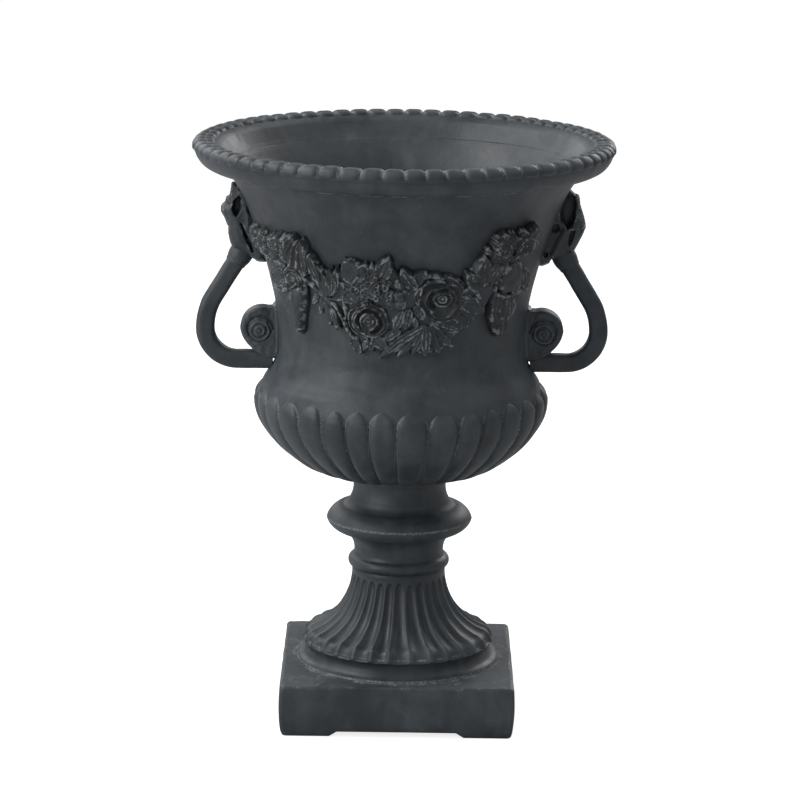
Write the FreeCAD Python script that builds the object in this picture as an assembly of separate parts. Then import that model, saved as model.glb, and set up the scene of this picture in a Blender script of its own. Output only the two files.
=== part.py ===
import FreeCAD, Part
import math
import os
from FreeCAD import Vector

# A campana garden urn of cast stone: a rope-edged mouth, a flared bell with floral swags, a gadrooned cup,
# a turned stem, a fluted socle and a square plinth, with a scrolled handle on each side.
# Millimetres. The origin is on the ground under the middle of the plinth, +Z is up, handles lie along X,
# and the front swag faces -Y.

# ---- driving dimensions ----
HEIGHT = 609.6
RIM_RADIUS = 439.4 / 2
MOUTH_RADIUS = 315.0 / 2
BASE_SIDE = 235.0
BLOCK_SIDE = 245.0

# heights of the seams between the castings
PLINTH_TOP = 54.4
SOCLE_TOP = 151.0
STEM_TOP = 250.0
CUP_TOP = 356.0
BELL_TOP = 584.0

# ornament counts
ROPE_TURNS = 66
GADROONS = 32
FLUTES = 30

# turned radii
BELLY_RADIUS = 152.6
WAIST_RADIUS = 129.3
KNOP_RADIUS = 77.0
STEM_RADIUS = 49.2
SOCLE_RADIUS = 107.0

# walls, seats and the drain
WALL = 14.0
SEAT_GAP = 0.4
DRAIN_RADIUS = 12.5
DRAIN_DEPTH = 22.0
STEM_BORE = 16.0
FLOOR_TOP = 276.0

# relief
GADROON_RISE = 3.5
ROPE_RISE = 3.4
FLUTE_DEPTH = 2.8
FLUTE_OFFSET = 2.0
GROUND_RISE = 4.0
LEAF_RISE = 8.0
CROWN_RISE = 10.0

# plinth feet
FOOT_SIDE = 47.5
FOOT_HEIGHT = 5.0
FOOT_CHAMFER = 8.0

# handle, seen from the front: a round bar that falls straight, turns in under itself and ends in a scroll
BAR_RADIUS = 9.75
CORE_RADIUS = 2.5
HANDLE_REACH = 215.0
TURN_HEIGHT = 408.0
UPPER_TURN = 63.0
LOWER_TURN = 33.5
FALL_ANGLE = 58.4
FALL_LENGTH = 62.0
SCROLL_CENTRE = (148.0, 409.5)
SCROLL_RADIUS = 20.5
SCROLL_HALF_WIDTH = 13.0

ORIGIN = Vector(0, 0, 0)
UP = Vector(0, 0, 1)


# ---- outlines and turning ----

def outline_edges(start, moves):
    """Edges in the XZ plane. A move is a point for a straight line, or (through, end) for an arc."""
    edges = []
    here = Vector(start[0], 0, start[1])
    for move in moves:
        if isinstance(move[0], tuple):
            through = Vector(move[0][0], 0, move[0][1])
            end = Vector(move[1][0], 0, move[1][1])
            edges.append(Part.Arc(here, through, end).toShape())
        else:
            end = Vector(move[0], 0, move[1])
            edges.append(Part.LineSegment(here, end).toShape())
        here = end
    return edges, here


def closed_face(start, moves):
    """A flat face in the XZ plane, closed by a straight line back to its start."""
    edges, here = outline_edges(start, moves)
    first = Vector(start[0], 0, start[1])
    if (here - first).Length > 1e-6:
        edges.append(Part.LineSegment(here, first).toShape())
    return Part.Face(Part.Wire(edges))


def turned(start, moves):
    return closed_face(start, moves).revolve(ORIGIN, UP, 360)


def rotated(shape, degrees):
    copy = shape.copy()
    copy.rotate(ORIGIN, UP, degrees)
    return copy


def slice_of_space(first_degrees, degrees):
    """A wedge of all space round Z."""
    slab = closed_face((0, -10), [(RIM_RADIUS + 20, -10), (RIM_RADIUS + 20, HEIGHT + 20), (0, HEIGHT + 20)])
    return rotated(slab.revolve(ORIGIN, UP, degrees), first_degrees)


def patterned(blank, rib, count, slices, carve=False):
    """Adds (or carves) a rib all round a turned blank. One slice is worked and then repeated."""
    pitch = 360.0 / count
    span = 360.0 / slices
    wedge = slice_of_space(-pitch / 2, span)
    ribs = [rotated(rib, pitch * turn) for turn in range(-1, count // slices + 1)]
    worked = blank.common(wedge)
    worked = worked.cut(ribs) if carve else worked.multiFuse(ribs)
    worked = worked.common(wedge)
    turns = [rotated(worked, span * turn) for turn in range(1, slices)]
    return worked.multiFuse(turns).removeSplitter()


def stations(start, moves, count):
    """Evenly spaced points along an open outline, each with its outward normal and its share of the way."""
    edges, _ = outline_edges(start, moves)
    points = Part.Wire(edges).discretize(Number=count)
    found = []
    for index, point in enumerate(points):
        before = points[max(index - 1, 0)]
        after = points[min(index + 1, count - 1)]
        along = (after - before).normalize()
        found.append((point, Vector(-along.z, 0, along.x), index / (count - 1)))
    return found


def crescent(point, normal, across, width, rise, sink):
    """A closed section: an arc over the surface, with its chord sunk below it."""
    left = point - across * (width / 2) - normal * sink
    right = point + across * (width / 2) - normal * sink
    crest = point + normal * rise
    return Part.Wire([Part.Arc(left, crest, right).toShape(), Part.LineSegment(right, left).toShape()])


def swelling(share, first, last):
    """0.3 to 1 along a rib: rounded like a quarter circle over its first and last stretch."""
    size = 1.0
    if share < first:
        size = math.sqrt(1 - (1 - share / first) ** 2)
    if share > 1 - last:
        size = math.sqrt(1 - (1 - (1 - share) / last) ** 2)
    return max(size, 0.3)


# ---- turned profiles shared by neighbouring pieces ----

BELL_START = (190.5, BELL_TOP)
BELL_MOVES = [
    ((176.5, 566.5), (163.3, 541.0)),
    ((147.3, 497.0), (135.3, 452.0)),
    ((131.0, 428.0), (WAIST_RADIUS, 404.0)),
    (WAIST_RADIUS, 394.0),
    ((131.0, 380.0), (137.0, 367.0)),
    ((140.5, 361.7), (143.8, CUP_TOP)),
]
CUP_START = (143.8, CUP_TOP)
CUP_MOVES = [
    ((147.9, 346.0), (BELLY_RADIUS - GADROON_RISE, 333.0)),
    ((147.6, 324.0), (144.4, 315.7)),
    ((133.4, 299.0), (115.2, 281.4)),
    ((104.5, 273.2), (93.5, 267.2)),
    ((77.5, 261.8), (56.0, 259.5)),
]
SOCLE_START = (STEM_RADIUS, SOCLE_TOP)
SOCLE_MOVES = [
    ((53.8, 126.0), (64.6, 106.5)),
    ((77.5, 94.8), (92.8, 87.0)),
    ((97.8, 83.0), (100.5, 77.5)),
]


def shifted(moves, rise):
    """The same outline moved outward."""
    out = []
    for move in moves:
        if isinstance(move[0], tuple):
            out.append(((move[0][0] + rise, move[0][1]), (move[1][0] + rise, move[1][1])))
        else:
            out.append((move[0] + rise, move[1]))
    return out


def bell_body(rise=0.0):
    """The bell as a solid plug, its wall moved outward by rise."""
    start = (BELL_START[0] + rise, BELL_START[1])
    return turned((0, CUP_TOP), [(0, BELL_TOP), start] + shifted(BELL_MOVES, rise))


# ---- the castings ----

def rope_rim():
    """A ring that caps the bell: a smooth coved band, and 66 rope turns over its rounded top."""
    crest = HEIGHT - ROPE_RISE
    ring = turned((176.0, BELL_TOP), [
        (BELL_START[0] + SEAT_GAP, BELL_TOP),
        (BELL_START[0] + SEAT_GAP, 580.0),
        (195.5, 580.0),
        ((210.5, 586.0), (216.0, 596.0)),
        ((215.4, 603.0), (206.0, crest)),
        ((196.0, 605.5), (187.0, 600.5)),
    ])
    path = stations((216.6, 598.4), [((214.4, 604.0), (206.0, crest)), ((198.2, 605.9), (190.0, 602.6))], 7)
    sections = []
    for point, normal, share in path:
        size = swelling(share, 0.3, 0.3)
        width = 0.97 * size * 2 * math.pi * point.x / ROPE_TURNS
        section = crescent(point, -normal, Vector(0, 1, 0), width, ROPE_RISE * size, 1.5)
        sections.append(rotated(section, 2.0 * (share - 0.5)))
    lobe = Part.makeLoft(sections, True, False)
    return rotated(patterned(ring, lobe, ROPE_TURNS, 6), 180.0 / ROPE_TURNS)


def bell():
    """The flared body, open at both ends, with a groove underneath for the tongue of the cup."""
    inside = [
        (MOUTH_RADIUS + 18.5, BELL_TOP),
        ((MOUTH_RADIUS + 7.5, 569.5), (MOUTH_RADIUS - 4.0, 551.0)),
        ((134.0, 497.0), (121.5, 452.0)),
        ((117.0, 428.0), (WAIST_RADIUS - WALL, 404.0)),
        (WAIST_RADIUS - WALL, 394.0),
        ((117.5, 374.0), (128.0, CUP_TOP)),
    ]
    outer = bell_body()
    cavity = turned((0, CUP_TOP), [(0, BELL_TOP)] + inside)
    groove = turned((132.6, CUP_TOP), [(132.6, CUP_TOP + 5.4), (138.4, CUP_TOP + 5.4), (138.4, CUP_TOP)])
    return outer.cut(cavity).cut(groove)


def gadroon():
    """One convex lobe that hugs the cup, arched at its head and narrowing towards the foot."""
    sections = []
    head = ((148.5, 342.0), (BELLY_RADIUS - GADROON_RISE, 333.0))
    for point, normal, share in stations((146.4, 350.0), [head] + CUP_MOVES[1:], 11):
        size = swelling(share, 0.1, 0.06)
        width = 0.965 * size * 2 * math.pi * point.x / GADROONS
        rise = GADROON_RISE * size * min(1.0, 0.35 + point.x / 200.0)
        sections.append(crescent(point, normal, Vector(0, 1, 0), width, rise, 1.2))
    return Part.makeLoft(sections, True, False)


def gadroon_cup():
    """The bowl's bottom half: gadrooned outside, plain inside, with a drain and a spigot under its floor."""
    body = turned((0, 236.0), [
        (0, CUP_TOP), CUP_START, *CUP_MOVES,
        (50.5, 259.5), (50.5, STEM_TOP), (30.0, STEM_TOP), (30.0, 236.0),
    ])
    body = rotated(patterned(body, gadroon(), GADROONS, 4), 180.0 / GADROONS)
    cavity = turned((0, FLOOR_TOP), [
        (70.0, FLOOR_TOP),
        ((98.0, 284.0), (121.0, 303.0)),
        ((135.0, 325.0), (128.0, CUP_TOP)),
        (0, CUP_TOP),
    ])
    drain = turned((0, 200.0), [
        (STEM_BORE, 200.0), (STEM_BORE, FLOOR_TOP - DRAIN_DEPTH), (DRAIN_RADIUS, FLOOR_TOP - DRAIN_DEPTH),
        (DRAIN_RADIUS, FLOOR_TOP + 1), (0, FLOOR_TOP + 1),
    ])
    tongue = turned((133.0, CUP_TOP - 2),
                    [(133.0, CUP_TOP + 5.0), (138.0, CUP_TOP + 5.0), (138.0, CUP_TOP - 2)])
    return body.cut(cavity).cut(drain).fuse(tongue)


def stem():
    """The turned knop and bead between cup and socle, bored through: a socket above, a spigot below."""
    body = turned((0, SOCLE_TOP - 12), [
        (0, STEM_TOP), (50.5, STEM_TOP),
        ((STEM_RADIUS, 238.0), (52.0, 228.5)),
        ((54.5, 223.5), (59.5, 220.3)),
        ((72.0, 214.5), (KNOP_RADIUS, 206.0)),
        ((73.0, 199.0), (61.0, 192.8)),
        (57.5, 191.5),
        ((49.5, 182.0), (47.3, 170.0)),
        (48.4, 166.8),
        ((53.6, 160.0), (48.8, 153.2)),
        (STEM_RADIUS, SOCLE_TOP), (28.0, SOCLE_TOP), (28.0, SOCLE_TOP - 12),
    ])
    socket = Part.makeCylinder(30.0 + SEAT_GAP, 14.4, Vector(0, 0, STEM_TOP - 14.4))
    bore = Part.makeCylinder(STEM_BORE, 200.0, Vector(0, 0, 100.0))
    return body.cut(socket).cut(bore)


def flute():
    """The cutter of one flute: a scoop that widens down the flare and ends in a rounded lip."""
    sections = []
    for point, normal, share in stations((49.6, 146.0), SOCLE_MOVES[:2] + [((96.6, 84.3), (99.0, 81.0))], 11):
        size = swelling(share, 0.08, 0.06)
        width = 0.88 * size * 2 * math.pi * point.x / FLUTES
        depth = FLUTE_DEPTH * size * min(1.0, 0.2 + point.x / 85.0)
        sections.append(crescent(point, -normal, Vector(0, 1, 0), width, depth, 0.8))
    return Part.makeLoft(sections, True, False)


def fluted_socle():
    """The flared foot with 30 flutes, standing on a coved round base, cast hollow."""
    body = turned((0, PLINTH_TOP), [
        (0, SOCLE_TOP), SOCLE_START, *SOCLE_MOVES,
        ((101.3, 74.0), (98.5, 71.5)),
        ((98.0, 63.5), (106.0, 57.0)),
        (SOCLE_RADIUS, PLINTH_TOP),
    ])
    hollow = turned((0, PLINTH_TOP - 1), [
        (72.0, PLINTH_TOP - 1), (72.0, 66.0),
        ((44.0, 84.0), (28.0, 126.0)),
        (28.0 + SEAT_GAP, SOCLE_TOP - 12.4), (28.0 + SEAT_GAP, SOCLE_TOP), (0, SOCLE_TOP),
    ])
    return rotated(patterned(body, flute(), FLUTES, 6, carve=True), FLUTE_OFFSET).cut(hollow)


def rounded_square(side, radius, height):
    """A square with round corners, lying flat at a height."""
    half = side / 2
    flat = half - radius
    bow = half - radius * (1 - math.sqrt(0.5))
    edges = []
    for turn in range(4):
        line = Part.LineSegment(Vector(-flat, -half, height), Vector(flat, -half, height)).toShape()
        arc = Part.Arc(Vector(flat, -half, height), Vector(bow, -bow, height),
                       Vector(half, -flat, height)).toShape()
        edges += [rotated(line, 90 * turn), rotated(arc, 90 * turn)]
    return Part.Wire(edges)


def plinth():
    """The square base: it swells above its standing face, with a soft top edge and four corner feet."""
    body = Part.makeLoft([
        rounded_square(BASE_SIDE, 3.0, 0),
        rounded_square(BLOCK_SIDE - 5.5, 4.5, 2.5),
        rounded_square(BLOCK_SIDE - 3.0, 5.0, 8.0),
        rounded_square(BLOCK_SIDE, 5.0, 30.0),
        rounded_square(BLOCK_SIDE - 1.0, 5.0, PLINTH_TOP - 2.5),
        rounded_square(BLOCK_SIDE - 2.4, 5.0, PLINTH_TOP - 0.7),
        rounded_square(BLOCK_SIDE - 5.6, 4.5, PLINTH_TOP),
    ], True, True)
    half = BASE_SIDE / 2
    arch = closed_face((-half + FOOT_SIDE, -1), [
        (-half + FOOT_SIDE, 0.5),
        (-half + FOOT_SIDE + FOOT_CHAMFER, FOOT_HEIGHT),
        (half - FOOT_SIDE - FOOT_CHAMFER, FOOT_HEIGHT),
        (half - FOOT_SIDE, 0.5),
        (half - FOOT_SIDE, -1),
    ])
    across = arch.extrude(Vector(0, 2 * BASE_SIDE, 0))
    across.translate(Vector(0, -BASE_SIDE, 0))
    bore = Part.makeCylinder(STEM_BORE, 2 * PLINTH_TOP)
    return body.cut(across).cut(rotated(across, 90)).cut(bore)


# ---- handles, made on the right (+X) and turned half round for the left ----

def bar_path():
    """The bar's centre line: the straight fall, two tangent turns, and a flat run into the scroll."""
    outer = HANDLE_REACH - BAR_RADIUS
    fall = math.radians(FALL_ANGLE)
    upper = Vector(outer - UPPER_TURN, 0, TURN_HEIGHT)
    lower = Vector(outer - LOWER_TURN, 0, TURN_HEIGHT)
    lean = math.radians(90 - FALL_ANGLE)
    end_fall = upper + Vector(math.cos(lean), 0, math.sin(lean)) * UPPER_TURN
    start = end_fall + Vector(-math.cos(fall), 0, math.sin(fall)) * FALL_LENGTH
    mid_upper = upper + Vector(math.cos(lean / 2), 0, math.sin(lean / 2)) * UPPER_TURN
    side = Vector(outer, 0, TURN_HEIGHT)
    mid_lower = lower + Vector(1, 0, -1).normalize() * LOWER_TURN
    foot = lower - UP * LOWER_TURN
    return Part.Wire([
        Part.LineSegment(start, end_fall).toShape(),
        Part.Arc(end_fall, mid_upper, side).toShape(),
        Part.Arc(side, mid_lower, foot).toShape(),
        Part.LineSegment(foot, foot - Vector(27.0, 0, 0)).toShape(),
    ])


def bar(radius):
    path = bar_path()
    start = path.OrderedVertexes[0].Point
    along = (path.OrderedVertexes[1].Point - start).normalize()
    section = Part.Wire([Part.makeCircle(radius, start, along)])
    return path.makePipeShell([section], True, False)


def handle(plug):
    """The bar and its scroll block with a pad against the wall, bored for its steel core."""
    x, z = SCROLL_CENTRE
    outline = closed_face((118.0, 431.0), [
        (x - 8.0, 430.5),
        ((x + 0.7 * SCROLL_RADIUS, z + 0.72 * SCROLL_RADIUS), (x + SCROLL_RADIUS, z)),
        ((x + 0.8 * SCROLL_RADIUS, z - 0.6 * SCROLL_RADIUS), (x + 9.0, z - 21.0)),
        (x + 9.0, 366.5),
        ((x - 3.0, 366.0), (x - 10.0, 370.5)),
        (118.0, 384.0),
    ])
    block = outline.extrude(Vector(0, 2 * SCROLL_HALF_WIDTH, 0))
    block.translate(Vector(0, -SCROLL_HALF_WIDTH, 0))
    pad = pressed([stamp(90, [(-21, 383), (-21, 430), (-16, 434), (16, 434), (21, 430), (21, 383)])], 3.0)
    return block.fuse([bar(BAR_RADIUS), pad]).cut(plug).cut(bar(CORE_RADIUS))


def handle_core(plug):
    return bar(CORE_RADIUS).cut(plug)


def scroll_eyes():
    """A turned eye on the front and on the back of the scroll."""
    eye = closed_face((0, 0), [
        (11.0, 0), ((10.6, 2.4), (9.0, 2.6)), ((7.6, 1.4), (6.2, 2.4)),
        ((4.0, 4.4), (2.4, 2.6)), ((1.4, 3.6), (0.5, 3.8)), (0, 3.8),
    ]).revolve(ORIGIN, UP, 360)
    eyes = []
    for turn in (1, -1):
        side = eye.copy()
        side.rotate(ORIGIN, Vector(1, 0, 0), 90 * turn)
        side.translate(Vector(SCROLL_CENTRE[0] - 0.5, -turn * SCROLL_HALF_WIDTH, SCROLL_CENTRE[1] - 2.5))
        eyes.append(side)
    return Part.Compound(eyes)


def fall_frame():
    """Where the bar starts, and its direction uphill."""
    path = bar_path()
    start = path.OrderedVertexes[0].Point
    uphill = (start - path.OrderedVertexes[1].Point).normalize()
    return start, uphill


def calyx(plug):
    """An egg-shaped cup that the bar hangs from."""
    start, uphill = fall_frame()
    inside = BAR_RADIUS + 0.05
    egg = closed_face((inside, 0), [
        ((12.4, 6.0), (12.0, 14.0)), ((10.0, 22.0), (1.0, 27.0)), (0, 27.0), (0, 18.05), (inside, 18.05),
    ]).revolve(ORIGIN, UP, 360)
    egg.Placement = FreeCAD.Placement(start - uphill * 18, FreeCAD.Rotation(UP, uphill))
    return egg.cut(plug)


def blade(spine, across, widths, rises):
    """A leaf: lens-shaped sections along a spine of points, its face turned away from the wall."""
    sections = []
    for index, point in enumerate(spine):
        before = spine[max(index - 1, 0)]
        after = spine[min(index + 1, len(spine) - 1)]
        along = (after - before).normalize()
        side = across[index].normalize()
        normal = side.cross(along).normalize()
        sections.append(crescent(point, normal, side, widths[index], rises[index], 0.35 * rises[index]))
    return Part.makeLoft(sections, True, False)


def leaf_boss(plug, calyx_solid):
    """A knot of curling leaves round the handle's head, with a deep hollow on its front and back."""
    middle = Vector(158, 0, 522)
    corners = [
        (150, 560), (173, 561), (178.5, 552), (181.5, 542), (187, 532), (188, 523), (183.5, 509),
        (177.5, 496),
        (168, 487), (152, 482), (141, 479), (130, 488),
    ]
    layers = []
    for across, size in ((-17, 0.55), (-9, 0.9), (0, 1.0), (9, 0.9), (17, 0.55)):
        points = [middle + (Vector(x, 0, z) - middle) * size + Vector(0, across, 0) for x, z in corners]
        layers.append(Part.makePolygon(points + points[:1]))
    body = Part.makeLoft(layers, True, True)
    petals = []
    for side in (-1, 1):
        fall = ((174, 557), (173, 548), (171, 538), (169, 528), (166, 519))
        spine = [Vector(x, 16 * side, z) for x, z in fall]
        hollow = blade(spine, [Vector(-side, 0, 0)] * 5, [5, 13, 16, 13, 5], [3, 7, 9, 7, 3])
        body = body.cut(hollow)
        low = [Vector(150, side * 11, 514), Vector(148, side * 16, 500), Vector(144, side * 18, 488),
               Vector(141, side * 16, 480)]
        petals.append(blade(low, [Vector(side, 0, 0)] * 4, [9, 18, 17, 8], [-5, -7, -6, -3]))
    edge = ((176, 498), (182, 512), (186, 524), (184, 534), (179, 548))
    spine = [Vector(x, 0, z) for x, z in edge]
    petals.append(blade(spine, [Vector(0, -1, 0)] * 5, [12, 26, 30, 24, 10], [3, 3.5, 3.5, 3.5, 2]))
    body = body.multiFuse(petals)
    return body.cut(plug).cut(calyx_solid).cut(bar(BAR_RADIUS))


# ---- relief on the bell ----

JACKETS = {}


def jacket(rise):
    """The layer of material between the bell's wall and the same wall moved outward."""
    if rise not in JACKETS:
        JACKETS[rise] = bell_body(rise).cut(bell_body())
    return JACKETS[rise]


def wall_frame(azimuth):
    """Tangent and outward directions at an azimuth: 0 is the front (-Y), 90 is the right (+X)."""
    turn = math.radians(azimuth)
    outward = Vector(math.sin(turn), -math.cos(turn), 0)
    tangent = Vector(math.cos(turn), math.sin(turn), 0)
    return tangent, outward


def stamp(azimuth, corners):
    """A prism over an outline of (along the wall, height) points, running out through the wall."""
    tangent, outward = wall_frame(azimuth)
    points = [tangent * u + UP * z + outward * 90 for u, z in corners]
    return Part.Face(Part.makePolygon(points + points[:1])).extrude(outward * 130)


def pressed(stamps, rise):
    """Raised patches of one height on the bell, where the stamps cross its jacket."""
    blank = stamps[0].multiFuse(stamps[1:]) if len(stamps) > 1 else stamps[0]
    return blank.common(jacket(rise))


def leaf_outline(root, tip, width, lobes=2):
    """A pointed leaf from root to tip with notched sides."""
    length = math.hypot(tip[0] - root[0], tip[1] - root[1])
    along = ((tip[0] - root[0]) / length, (tip[1] - root[1]) / length)
    side = (-along[1], along[0])

    def at(share, off):
        return (root[0] + along[0] * length * share + side[0] * off,
                root[1] + along[1] * length * share + side[1] * off)

    left = []
    for step in range(lobes):
        share = 0.2 + 0.6 * step / lobes
        wide = width / 2 * math.sin(math.pi * (0.25 + 0.5 * share))
        left.append((share, wide))
        left.append((share + 0.3 / lobes, wide * 0.78))
    outline = [at(0, 0)] + [at(s, w) for s, w in left] + [at(1, 0)]
    return outline + [at(s, -w) for s, w in reversed(left)]


def leaves(rows):
    """Leaves in two layers, blades and raised midribs. A row is azimuth, root, tip and width."""
    blades = [stamp(azimuth, leaf_outline(root, tip, width)) for azimuth, root, tip, width in rows]
    ribs = [stamp(azimuth, leaf_outline(root, tip, width * 0.32, 1)) for azimuth, root, tip, width in rows]
    return pressed(blades, LEAF_RISE - 2.0).fuse(pressed(ribs, LEAF_RISE))


def wall_radius(height):
    """The bell's outer radius at a height."""
    edges, _ = outline_edges(BELL_START, BELL_MOVES)
    ray = Part.LineSegment(Vector(0, 0, height), Vector(300, 0, height)).toShape()
    gap, pairs, _ = Part.Wire(edges).distToShape(ray)
    return pairs[0][0].x


def on_wall(shape, azimuth, height, lean=12.0):
    """Stands a shape, made about +Z from 0, on the wall."""
    _, outward = wall_frame(azimuth)
    tangent, _ = wall_frame(azimuth)
    normal = FreeCAD.Rotation(tangent, lean).multVec(outward)
    placed = shape.copy()
    foot = outward * (wall_radius(height) - 5.0) + UP * height
    placed.Placement = FreeCAD.Placement(foot, FreeCAD.Rotation(UP, normal))
    return placed


def rose(azimuth, height, radius):
    """An open rose: two rings of petals round a button, turned about the wall's normal."""
    petals = closed_face((0, 0), [
        (radius, 0), (radius, 8.0),
        ((0.93 * radius, 11.5), (0.80 * radius, 11.2)),
        ((0.70 * radius, 9.0), (0.62 * radius, 10.0)),
        ((0.54 * radius, 14.5), (0.42 * radius, 13.8)),
        ((0.36 * radius, 11.2), (0.28 * radius, 11.8)),
        ((0.17 * radius, 15.4), (0.05 * radius, 16.0)), (0, 16.0),
    ]).revolve(ORIGIN, UP, 360)
    return on_wall(petals, azimuth, height)


def blossom(azimuth, height, radius):
    """A small five-petalled flower."""
    petals = [Part.makeSphere(0.5 * radius, Vector(0.55 * radius, 0, 7.5))]
    for turn in range(1, 5):
        petals.append(rotated(petals[0], 72 * turn))
    heart = Part.makeCone(0.75 * radius, 0.5 * radius, 9.0)
    eye = Part.makeSphere(0.3 * radius, Vector(0, 0, 10.5))
    return on_wall(heart.multiFuse(petals + [eye]), azimuth, height)


def berry(azimuth, height, radius):
    ball = Part.makeSphere(radius, Vector(0, 0, 6.0))
    return on_wall(ball, azimuth, height)


def stalk(azimuth, ends, width):
    """The stamp of a straight stalk laid on the wall."""
    (u0, z0), (u1, z1) = ends
    length = math.hypot(u1 - u0, z1 - z0)
    off = ((z0 - z1) / length * width / 2, (u1 - u0) / length * width / 2)
    return stamp(azimuth, [(u0 + off[0], z0 + off[1]), (u1 + off[0], z1 + off[1]),
                           (u1 - off[0], z1 - off[1]), (u0 - off[0], z0 - off[1])])


def flowers(rows, plug):
    """Blossoms that run into each other. A row is azimuth, height and radius."""
    heads = [blossom(azimuth, height, radius) for azimuth, height, radius in rows]
    return heads[0].multiFuse(heads[1:]).cut(plug)


def swag(plug):
    """The front garland, as its separate moulded sprigs, from the wall outward."""
    sprigs = {}
    sprigs["rose_left"] = rose(-14.0, 447, 20.0).cut(plug)
    sprigs["rose_right"] = rose(15.0, 471, 23.0).cut(plug)
    sprigs["drop_left"] = pressed(
        [stamp(-46, [(-14, 500), (-17, 478), (-12, 462), (2, 424), (8, 424), (11, 470), (13, 500)])],
        CROWN_RISE).fuse(pressed([stamp(-46, [(-4, 470), (2, 424), (8, 424), (9, 470)])], CROWN_RISE + 2))
    sprigs["drop_right"] = pressed(
        [stamp(56, [(-11, 504), (-12, 460), (-11, 436), (-4, 425), (6, 425), (13, 438), (14, 504)])],
        CROWN_RISE).fuse(
            pressed([stamp(56, [(-5, 500), (-4, 436), (4, 430), (7, 440), (7, 500)])], CROWN_RISE + 2))
    sprigs["cluster_left"] = flowers(
        [(-55, 522, 10.5), (-47, 526, 10.5), (-40, 519, 10.5), (-52, 509, 10.5), (-44, 508, 10.5)], plug)
    sprigs["cluster_right"] = flowers(
        [(66, 532, 10.5), (58, 530, 10.5), (52, 522, 10.5), (62, 519, 10.5), (56, 511, 10.5)], plug)
    sprigs["posy"] = flowers([(-14.5, 480, 8.5), (-20, 474, 7.5), (-8.5, 476, 7.5), (-12.0, 491, 7.0)], plug)
    berries = [berry(az, z, r) for az, z, r in ((-1.5, 475, 9.0), (-1.0, 461, 8.5), (1.5, 486, 6.5))]
    sprigs["berries"] = berries[0].multiFuse(berries[1:]).cut(plug)
    sprigs["crown_leaves"] = leaves(
        [(-22, (0, 484), (-8, 508), 20), (-6, (0, 490), (5, 513), 16), (5, (0, 484), (-6, 502), 16)])
    sprigs["fold_left"] = leaves([(-33, (-4, 512), (8, 486), 15), (-33, (-10, 508), (-6, 478), 15)])
    sprigs["fold_right"] = leaves([(38, (6, 506), (-10, 478), 17), (38, (8, 498), (2, 466), 15)])
    sprigs["leaf_spray"] = leaves([
        (5, (-2, 449), (-32, 407), 16), (5, (2, 447), (-8, 406), 17),
        (5, (6, 449), (14, 412), 18), (5, (8, 452), (34, 428), 18)])
    sprigs["twig"] = pressed(
        [stalk(-27, [(-22, 488), (-2, 456)], 6), stalk(-27, [(-3, 459), (20, 411)], 6),
         stamp(-27, leaf_outline((-12, 470), (-18, 438), 14))], LEAF_RISE)
    ground = pressed([stamp(0, [
        (-88, 500), (-60, 494), (-36, 492), (-10, 498), (18, 492), (50, 494), (84, 506), (92, 496),
        (70, 462), (44, 436), (12, 412), (-14, 410), (-44, 424), (-66, 452), (-84, 480)])], GROUND_RISE)
    settled = {}
    for name, shape in sprigs.items():
        for earlier in settled.values():
            if corner_box(shape).intersect(corner_box(earlier)):
                shape = shape.cut(earlier)
        settled[name] = shape
    settled["garland_ground"] = ground.cut(list(settled.values()))
    return settled


def corner_box(shape):
    """A box round a shape's corners, with a little room."""
    box = FreeCAD.BoundBox()
    for vertex in shape.Vertexes:
        box.add(vertex.Point)
    box.enlarge(4.0)
    return box


def largest_solids(shape, least=450.0):
    """Drops crumbs that the trimming leaves, smaller than least cubic millimetres."""
    kept = [solid for solid in shape.Solids if solid.Volume > least]
    return kept[0] if len(kept) == 1 else Part.Compound(kept)


def main():
    os.makedirs("parts", exist_ok=True)
    plug = bell_body()
    pieces = {
        "rope_rim": rope_rim(),
        "bell": bell(),
        "gadroon_cup": gadroon_cup(),
        "stem": stem(),
        "fluted_socle": fluted_socle(),
        "plinth": plinth(),
    }
    cup = calyx(plug)
    right = {
        "handle": handle(plug),
        "handle_core": handle_core(plug),
        "scroll_eyes": scroll_eyes(),
        "calyx": cup,
        "leaf_boss": leaf_boss(plug, cup),
    }
    for name, shape in right.items():
        pieces[name + "_right"] = shape
        pieces[name + "_left"] = rotated(shape, 180)
    for name, shape in swag(plug).items():
        pieces[name + "_front"] = shape
        pieces[name + "_back"] = rotated(shape, 180)
    for name, shape in pieces.items():
        shape = largest_solids(shape)
        shape.exportStep("parts/" + name + ".step")
        box = shape.BoundBox
        print(name, "solids", len(shape.Solids), "faces", len(shape.Faces), "valid", shape.isValid(),
              "volume", round(shape.Volume), "z", round(box.ZMin, 1), round(box.ZMax, 1))


main()
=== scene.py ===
"""A garden urn of cast stone, stained charcoal and dry-brushed pale on its edges, with painted highlights and
painted shade in places.

The frame is in metres; sizes below are in millimetres unless they say otherwise.
"""

import math

import bpy
import numpy as np
from mathutils import Matrix, Vector

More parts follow.
